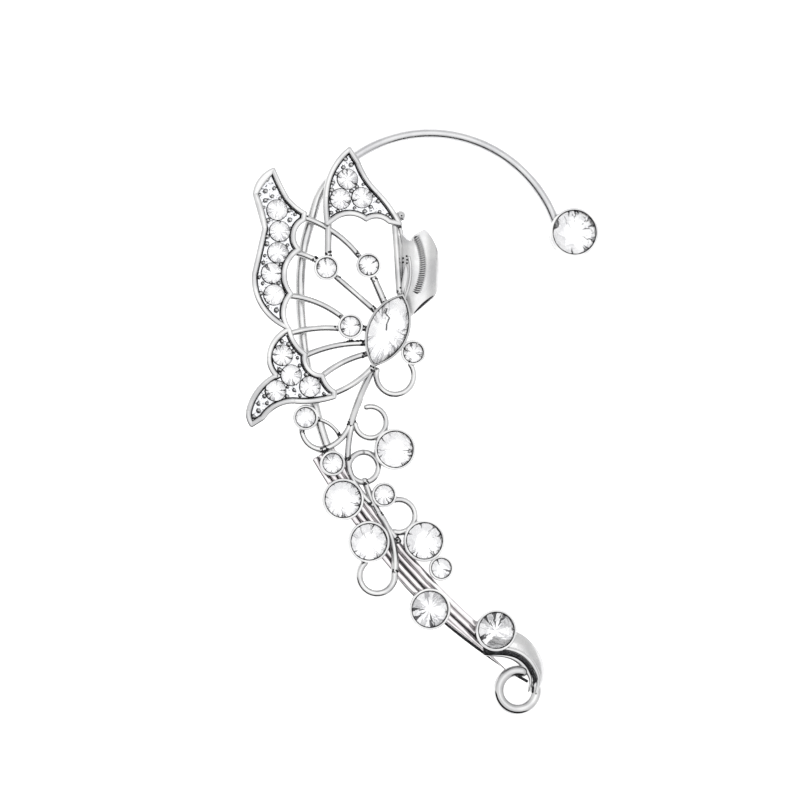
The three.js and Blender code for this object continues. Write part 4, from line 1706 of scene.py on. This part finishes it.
class Rods:
    """Four rods side by side that carry the spray, with dark grooves of painted shade between them.

    Towards the curl the lower one closes in on the others, and its thin end runs on to the curl.
    """

    line = Arc(-0.1625, -0.305, 0.258, -0.79, 0.0875)
    count = 4
    pitch = 0.95
    halves = (0.4, 0.36, 0.36, 0.5)
    offsets = (-1.3, -0.44, 0.44, 1.26)
    flatness = 0.62
    narrow_from = 0.62
    narrowing = 0.75
    thinning = 0.7
    # Half width of the dark strip of painted shade under the rods
    painted_shade_strip_half = 1.35
    # Offset of the painted shadow line beside the lower rod
    painted_shadow_offset = 1.7
    end = (15.95, -45.3)

    def closer(self, share: float) -> float:
        """Says how far the lower rod has closed in at a share of its length, from 0 to 1."""
        return max(0.0, share - self.narrow_from) / (1 - self.narrow_from)

    def side_path(self, offset: float, level: float) -> list[Vector]:
        """Draws a line beside the rods that closes in on them towards the curl.

        Args:
            offset: Distance from their middle line, to the lower side.
            level: Height of the line.

        Returns:
            Points of the line, and the place on the curl where it ends.
        """
        line = self.line.scaled(SPRAY_REACH)
        steps = line.steps()
        shares = [k / steps for k in range(steps + 1)]
        points = [line.at(share, offset - self.narrowing * self.closer(share)) for share in shares]
        return raised([*points, Vector(self.end)], level)

    def build(self, workshop: Workshop) -> None:
        """Draws the rods over a dark strip of painted shade, with a painted shadow line beside the
        lower rod.

        Args:
            workshop: Jig and materials.
        """
        draft = Draft()
        line = self.line.scaled(SPRAY_REACH)
        lower, *others = zip(self.offsets, self.halves)
        offset, half = lower
        tall = half * self.flatness
        path = self.side_path(-offset, ROD_WIRE - tall)
        draft.tube(
            path, lambda share: half * (1 - self.thinning * self.closer(share)), tall,
            Finish.WARM_PLATE,
        )
        for offset, half_width in others:
            tall = half_width * self.flatness
            path = raised(line.points(-offset), ROD_WIRE - tall)
            draft.tube(path, half_width, tall, Finish.WARM_PLATE)
        # Painted shade: a dark strip under the rods that shows in the grooves
        draft.tube(
            raised(line.points(-0.15), 0.3),
            lambda share: self.painted_shade_strip_half - 0.5 * max(0.0, share - self.narrow_from), 0.22,
            Finish.OXIDE_AND_PAINTED_SHADE, square=0.5,
        )
        # Painted shadow: a dark line along the lower rod's outer side
        edge = self.side_path(self.painted_shadow_offset, 0.5)
        draft.tube(
            edge[len(edge) // 2:],
            lambda share: 0.05 + 0.13 * wave(share, 0.7), 0.15, Finish.OXIDE_AND_PAINTED_SHADE,
        )
        draft.piece("rods", workshop)


@dataclass(frozen=True)
class EndCurl:
    """The curl that ends the rods: a broad sloping band, a ribbon on it and a ring."""

    outer: tuple[tuple[float, float], ...] = (
        (15.0, -39.9), (17.55, -40.25), (19.2, -41.2), (20.65, -42.9), (21.4, -44.8),
        (21.45, -46.6), (20.5, -48.7),
    )
    crest: tuple[tuple[float, float], ...] = (
        (13.2, -42.1), (16.35, -42.35), (17.95, -42.85), (19.2, -43.75), (20.15, -45.0),
        (20.75, -46.7), (20.4, -48.6),
    )
    ring: Ring = Ring(0.3275, -0.8925, 0.048, 15, -285)
    # Painted shadow where the ribbon ends, inside the ring
    ribbon_end_shadow: Arc = Arc(17.2, -46.0, 18.95, -47.0)
    steps: int = 8
    # Section of the band: shares of the way from its outer edge to its crest, with heights
    slope: tuple[tuple[float, float], ...] = (
        (0.0, 0.02), (0.02, 0.45), (0.3, 0.95), (0.65, 1.32), (1.0, CURL_DEPTH),
    )
    shelf_top: float = 0.9
    foot: float = 0.02
    ribbon_shift: float = 0.28
    # Where the dark groove of painted shade beside the ribbon lies
    painted_shade_shift: float = 0.72
    shelf_shift: float = 1.3

    def curve(self, rows: Sequence[tuple[float, float]], shift: float = 0.0) -> list[Vector]:
        """Draws a smooth curve through rows.

        Args:
            rows: Places to pass through.
            shift: How far the curve lies to the right of travel.

        Returns:
            Points of the curve.
        """
        points = smooth_path([Vector(row) for row in rows], self.steps)
        last = len(points) - 1
        moved = []
        for i, point in enumerate(points):
            travel = points[min(last, i + 1)] - points[max(0, i - 1)]
            right = Vector((travel.y, -travel.x)).normalized()
            moved.append(point + right * shift)
        return moved

    def build(self, workshop: Workshop) -> None:
        """Builds the sloping band, the ribbon over a dark groove of painted shade, the ring, and a
        painted shadow where the ribbon ends.

        Args:
            workshop: Jig and materials.
        """
        draft = Draft()
        outer, crest = self.curve(self.outer), self.curve(self.crest)
        inner = self.curve(self.crest, self.shelf_shift)
        rings = []
        for far, near, shelf in zip(outer, crest, inner):
            ring = []
            for share, height in self.slope:
                place = far + (near - far) * share
                ring.append(Vector((place.x, place.y, height)))
            rings.append(ring + raised([shelf], self.shelf_top) + raised([shelf], self.foot))
        draft.loft(rings, Finish.SATIN_PLATE)
        bands = (
            (self.ribbon_shift, 0.02, lambda share: 0.14 + 0.24 * wave(min(0.96, share), 0.5), 0.3,
             Finish.PLATE),
            # Painted shade: a dark groove under the ribbon's edge
            (self.painted_shade_shift, 0.32, lambda share: 0.14 + 0.34 * max(0.0, 1 - share) ** 0.4, 0.22,
             Finish.OXIDE_AND_PAINTED_SHADE),
            (self.shelf_shift, 0.6, lambda share: 0.12 + 0.25 * wave(share), 0.3, Finish.PLATE),
        )
        for shift, below, half, tall, finish in bands:
            path = raised(self.curve(self.crest, shift), CURL_DEPTH - below)
            draft.tube(path, half, tall, finish)
        ring = raised(self.ring.points(SPRAY_REACH), CURL_WIRE / 2)
        draft.tube(ring, CURL_WIRE / 2, sides=24)
        # Painted shadow: a dark stroke where the ribbon ends
        draft.tube(raised(self.ribbon_end_shadow.points(), 1.15), 0.2, 0.14, Finish.OXIDE_AND_PAINTED_SHADE)
        draft.piece("end_curl", workshop)


@dataclass(frozen=True)
class EarHook:
    """The wire that goes over the ear, and the stone at its free end.

    The wire is paler from rubbed_from on, where it runs behind the wings.
    """

    centre: Place = Place(0.335, 0.4925)
    start: float = 19.0
    end: float = 148.0
    steps: int = 14
    neck: tuple[tuple[float, float], ...] = (
        (0.085, 0.066), (0.2, 0.14), (0.33, 0.178), (0.52, 0.178), (0.67, 0.15), (0.84, 0.088),
    )
    shift: Place = Place(0.026, -0.03)
    rubbed_from: float = -6.0

    def path(self) -> list[Vector]:
        """Gives the middle line of the wire, from the free end down to the rods.

        Returns:
            Its points.
        """
        middle = self.centre.flat(HOOK_RADIUS)
        points = []
        for i in range(self.steps + 1):
            angle = math.radians(self.start + (self.end - self.start) * i / self.steps)
            points.append(middle + polar(angle, HOOK_RADIUS))
        top = points[-1]
        foot = Vector((Rods.line.x0 + self.shift.x, Rods.line.y0 + self.shift.y)) * SPRAY_REACH
        down = foot - top
        out = Vector((down.y, -down.x)).normalized()
        points += [top + down * along + out * away * HOOK_RADIUS for along, away in self.neck]
        return raised(smooth_path([*points, foot], 6), HOOK_WIRE / 2)

    def build(self, workshop: Workshop) -> None:
        """Draws the wire and sets the stone at its end.

        Args:
            workshop: Jig and materials.
        """
        draft = Draft()
        draft.tube(trimmed(self.path()), HOOK_WIRE / 2, finish=Finish.DRAWN_WIRE, sides=24)
        for k, corners in enumerate(draft.faces):
            if draft.corners[corners[0]].x < self.rubbed_from:
                draft.finishes[k] = Finish.SATIN_PLATE
        draft.piece("ear_hook_wire", workshop)
        cup = Draft()
        wall = HOOK_STONE / 2 + STONE_CLEARANCE + SETTING_WALL
        reach = HOOK_RADIUS + wall / 2
        away = math.radians(self.start) - (wall / 2) / reach
        x = self.centre.x * HOOK_RADIUS + reach * math.cos(away)
        y = self.centre.y * HOOK_RADIUS + reach * math.sin(away)
        setting = RoundSetting("stone_hook_end", x, y, 0.0, HOOK_STONE, turn=8.0, cut=FINE_CUT)
        setting.build(cup, workshop)
        cup.piece("hook_end_setting", workshop)


def setting_places() -> list[tuple[float, float, float]]:
    """Gives the X, Y and stone size of every round setting outside the trays.

    Returns:
        A row for each setting.
    """
    head = ButterflyBody().head
    rows = [(p.x * WING_REACH, p.y * WING_REACH, SMALL_STONE) for p in (*WingRibs().stones, head)]
    return rows + Spray().stone_rows()


def solder(draft: Draft, path: Sequence[Vector], radius: float) -> None:
    """Leaves dark flux at the end of a wire, where it meets what it is soldered to.

    Args:
        draft: Draft of the wire.
        path: Middle line of the wire.
        radius: Half of its diameter.
    """
    for end, inner in ((path[0], path[2]), (path[-1], path[-3])):
        chance = random.Random(f"{end.x:.2f} {end.y:.2f}")
        back = (inner - end).normalized()
        side = Vector((back.y, -back.x, 0))
        for _ in range(SOLDER_GRAINS):
            along, across = chance.uniform(0.0, SOLDER_LENGTH), chance.uniform(-0.8, 0.8)
            spot = end + back * along + side * radius * across
            spot.z = end.z + radius * 0.75
            draft.bead(spot, chance.uniform(*GRAIN_SIZES), Finish.OXIDE_AND_PAINTED_SHADE)


BODY_WALL = ButterflyBody().oval(1.0, 0.0, WIRE_STOP, 24)
ROUND_SETTINGS = setting_places()


def in_setting(point: Vector) -> bool:
    """Says whether a point is inside the body's setting or one of the round ones.

    Args:
        point: Point of a wire.

    Returns:
        True if a wire must stop before it.
    """
    return inside(BODY_WALL, point.x, point.y) or any(
        math.hypot(point.x - x, point.y - y) < size / 2 + WIRE_STOP
        for x, y, size in ROUND_SETTINGS
    )


NEAR_WING = WingTray(
    "near_wing_tray", "forewing",
    (
        Corner(-0.58, 0.805, 0.03), Corner(-0.515, 0.66, 0.1), Corner(-0.43, 0.585, 0),
        Corner(-0.435, 0.55, 0.5), Corner(-0.46, 0.4, 0.45), Corner(-0.5, 0.18, 0.33),
        Corner(-0.515, 0.01, -0.33), Corner(-0.683, 0.275, 0), Corner(-0.63, 0.505, 0),
        Corner(-0.675, 0.68, -0.27),
    ),
    Place(-0.565, 0.6), (Beside(0, -84), Beside(1, -95), Beside(2, -107), Beside(3, -84)),
    seed=3, wide_edges={8: 0.12, 9: 0.2},
)
FAR_WING = WingTray(
    "far_wing_tray", "farwing",
    (
        Corner(-0.2, 0.915, 0), Corner(-0.155, 0.84, 0.12), Corner(-0.065, 0.695, -0.08),
        Corner(0.045, 0.535, 0), Corner(-0.01, 0.545, 0.37), Corner(-0.125, 0.555, 0.36),
        Corner(-0.285, 0.555, 0), Corner(-0.32, 0.53, -0.05), Corner(-0.325, 0.665, -0.22),
    ),
    Place(-0.213, 0.76), (Beside(0, -110), Beside(1, 4)), seed=5,
)
HIND_WING = WingTray(
    "hind_wing_tray", "hindwing",
    (
        Corner(-0.51, 0.005, 0.2), Corner(-0.43, -0.12, 0.5), Corner(-0.345, -0.225, 0.2),
        Corner(-0.285, -0.305, 0), Corner(-0.285, -0.33, -0.1), Corner(-0.485, -0.353, 0.26),
        Corner(-0.635, -0.435, 0), Corner(-0.69, -0.47, -0.2), Corner(-0.708, -0.4, -0.23),
        Corner(-0.575, -0.225, -0.2), Corner(-0.61, -0.14, -0.31),
    ),
    Place(-0.542, -0.125), (Beside(0, -66), Beside(1, -135), Beside(1, -31)), seed=7,
)


@dataclass(frozen=True)
class Studio:
    """The floor, the soft light round the cuff and the camera over it."""

    aim: tuple[float, float] = (-2.878, 2.777)
    distance: float = 450.0
    lens: float = 149.9
    sensor: float = 36.0
    lean_left: float = 9.0
    lean_down: float = 3.0
    floor_half: float = 1.6
    floor_level: float = -1e-5
    # The dark band: where its top fades, which way it lies, where its sides fade, and its light
    band_top: tuple[float, float] = (0.64, 0.76)
    band_way: tuple[float, float, float] = (-0.42, -0.907, 0.0)
    band_side: tuple[float, float] = (0.42, 0.52)
    band_glow: tuple[float, float] = (1.1, 0.02)
    sky: tuple[float, float, float, float] = (1.4, 1.4, 1.4, 1)
    backdrop: tuple[float, float, float, float] = (0.95, 0.95, 0.96, 1)
    lamp_size: float = 0.5
    lamp_power: float = 0.35
    lamp_place: tuple[float, float, float] = (0.08, 0.12, 0.62)

    def build(self) -> None:
        """Sets up all of the studio."""
        self.build_floor()
        self.build_sky()
        self.build_softbox()
        self.build_camera()
        bpy.context.scene.view_settings.view_transform = "Standard"

    def build_floor(self) -> None:
        """Lays the floor just under the cuff."""
        half = self.floor_half
        mesh = bpy.data.meshes.new("floor")
        corners = [(-half, -half), (half, -half), (half, half), (-half, half)]
        mesh.from_pydata([(x, y, self.floor_level) for x, y in corners], [], [(0, 1, 2, 3)])
        mesh.materials.append(OpalBoard().make())
        floor = bpy.data.objects.new("floor", mesh)
        bpy.context.scene.collection.objects.link(floor)

    def build_sky(self) -> None:
        """Makes a white room with a dark band low down, which draws the lines on the wires."""
        world = bpy.data.worlds.new("white_room")
        bpy.context.scene.world = world
        world.use_nodes = True
        tree = world.node_tree
        tree.nodes.clear()
        way = add_node(tree, "ShaderNodeTexCoord").outputs["Generated"]
        parts = add_node(tree, "ShaderNodeSeparateXYZ", inputs={0: way})
        height = add_node(tree, "ShaderNodeValToRGB", inputs={"Fac": parts.outputs["Z"]})
        for element, start, glow in zip(height.color_ramp.elements, self.band_top, (0, 1)):
            element.position, element.color = start, (glow, glow, glow, 1)
        toward = add_node(
            tree, "ShaderNodeVectorMath", {"operation": "DOT_PRODUCT"}, {0: way, 1: self.band_way}
        )
        ends = ("From Min", "From Max", "To Min", "To Max")
        span = dict(zip(ends, (*self.band_side, *self.band_glow)))
        span["Value"] = toward.outputs["Value"]
        side = add_node(tree, "ShaderNodeMapRange", inputs=span).outputs["Result"]
        grey = add_node(tree, "ShaderNodeCombineXYZ", inputs={0: side, 1: side, 2: side})
        mixed = add_node(
            tree, "ShaderNodeMix", {"data_type": "RGBA"},
            {0: height.outputs["Color"], 6: grey.outputs["Vector"], 7: self.sky},
        )
        seen = add_node(tree, "ShaderNodeLightPath").outputs["Is Camera Ray"]
        shown = add_node(
            tree, "ShaderNodeMix", {"data_type": "RGBA"},
            {0: seen, 6: mixed.outputs[2], 7: self.backdrop},
        )
        plain = {"Color": shown.outputs[2], "Strength": 1.0}
        light = add_node(tree, "ShaderNodeBackground", inputs=plain).outputs["Background"]
        add_node(tree, "ShaderNodeOutputWorld", inputs={"Surface": light})

    def build_softbox(self) -> None:
        """Hangs a broad softbox over the cuff, a little to the upper right."""
        lamp = bpy.data.lights.new("softbox", "AREA")
        lamp.shape = "SQUARE"
        lamp.size = self.lamp_size
        lamp.energy = self.lamp_power
        box = bpy.data.objects.new("softbox", lamp)
        bpy.context.scene.collection.objects.link(box)
        box.location = self.lamp_place
        aim = Vector((0, 0, 0)) - box.location
        box.rotation_mode = "QUATERNION"
        box.rotation_quaternion = aim.to_track_quat("-Z", "Y")

    def build_camera(self) -> None:
        """Puts the camera over the cuff, leaning a little to its left and lower side."""
        lens = bpy.data.cameras.new("camera")
        lens.sensor_width = self.sensor
        lens.lens = self.lens
        lens.clip_start = 0.01
        lens.clip_end = 10.0
        camera = bpy.data.objects.new("camera", lens)
        bpy.context.scene.collection.objects.link(camera)
        target = Vector((*self.aim, 0)) * MM
        left, down = math.radians(self.lean_left), math.radians(self.lean_down)
        back = Vector((-math.tan(left), -math.tan(down), 1)).normalized()
        camera.location = target + back * self.distance * MM
        right = Vector((0, 1, 0)).cross(back).normalized()
        axes = Matrix((right, back.cross(right), back)).transposed()
        camera.rotation_mode = "QUATERNION"
        camera.rotation_quaternion = axes.to_quaternion()
        bpy.context.scene.camera = camera


def build_cuff() -> None:
    """Makes the finishes and builds each sub-assembly in order."""
    materials = {
        Finish.PLATE: RhodiumPlate().make(),
        # Oxide in hollows, and the same dark metal as painted shade
        Finish.OXIDE_AND_PAINTED_SHADE: OxideAndPaintedShade().make(),
        Finish.WARM_PLATE: RhodiumPlate(
            "rhodium_plate_on_rods", bright="#D6D3D4", dull="#C6C2C4", tone_mm=1.6
        ).make(),
        Finish.SATIN_PLATE: RhodiumPlate(
            "satin_rhodium_plate", bright="#C4C4C4", dull="#B6B6B7", roughness=(0.18, 0.28)
        ).make(),
        Finish.DRAWN_WIRE: RhodiumPlate(
            "rhodium_plate_on_drawn_wire", bright="#BCBCBD", dull="#B2B2B4", roughness=(0.2, 0.3)
        ).make(),
        Finish.GRAINED: GrainedPlate().make(),
        Finish.GLASS: CutGlass().make(),
        Finish.FOIL: FoilBack().make(),
        # Grey and dark copies of the foil, as painted half shade and painted shade on the stones'
        # backs
        Finish.FOIL_PAINTED_HALF_SHADE: FoilBack("silver_foil_in_half_shade", "#9E9EA0", "#BDBDBE").make(),
        Finish.FOIL_PAINTED_SHADE: FoilBack("silver_foil_in_shade", "#2C2C2E", "#58585A").make(),
    }
    workshop = Workshop(Jig(), materials)
    parts = (
        NEAR_WING, FAR_WING, HIND_WING, WingRibs(), ButterflyBody(), EarClip(), Spray(), Rods(),
        EndCurl(), EarHook(),
    )
    for part in parts:
        part.build(workshop)
        LOG.info("built %s", type(part).__name__)


def main() -> None:
    """Builds the studio and the cuff."""
    logging.basicConfig(level=logging.INFO, format="%(name)s: %(message)s")
    Studio().build()
    build_cuff()


if __name__ == "__main__":
    main()
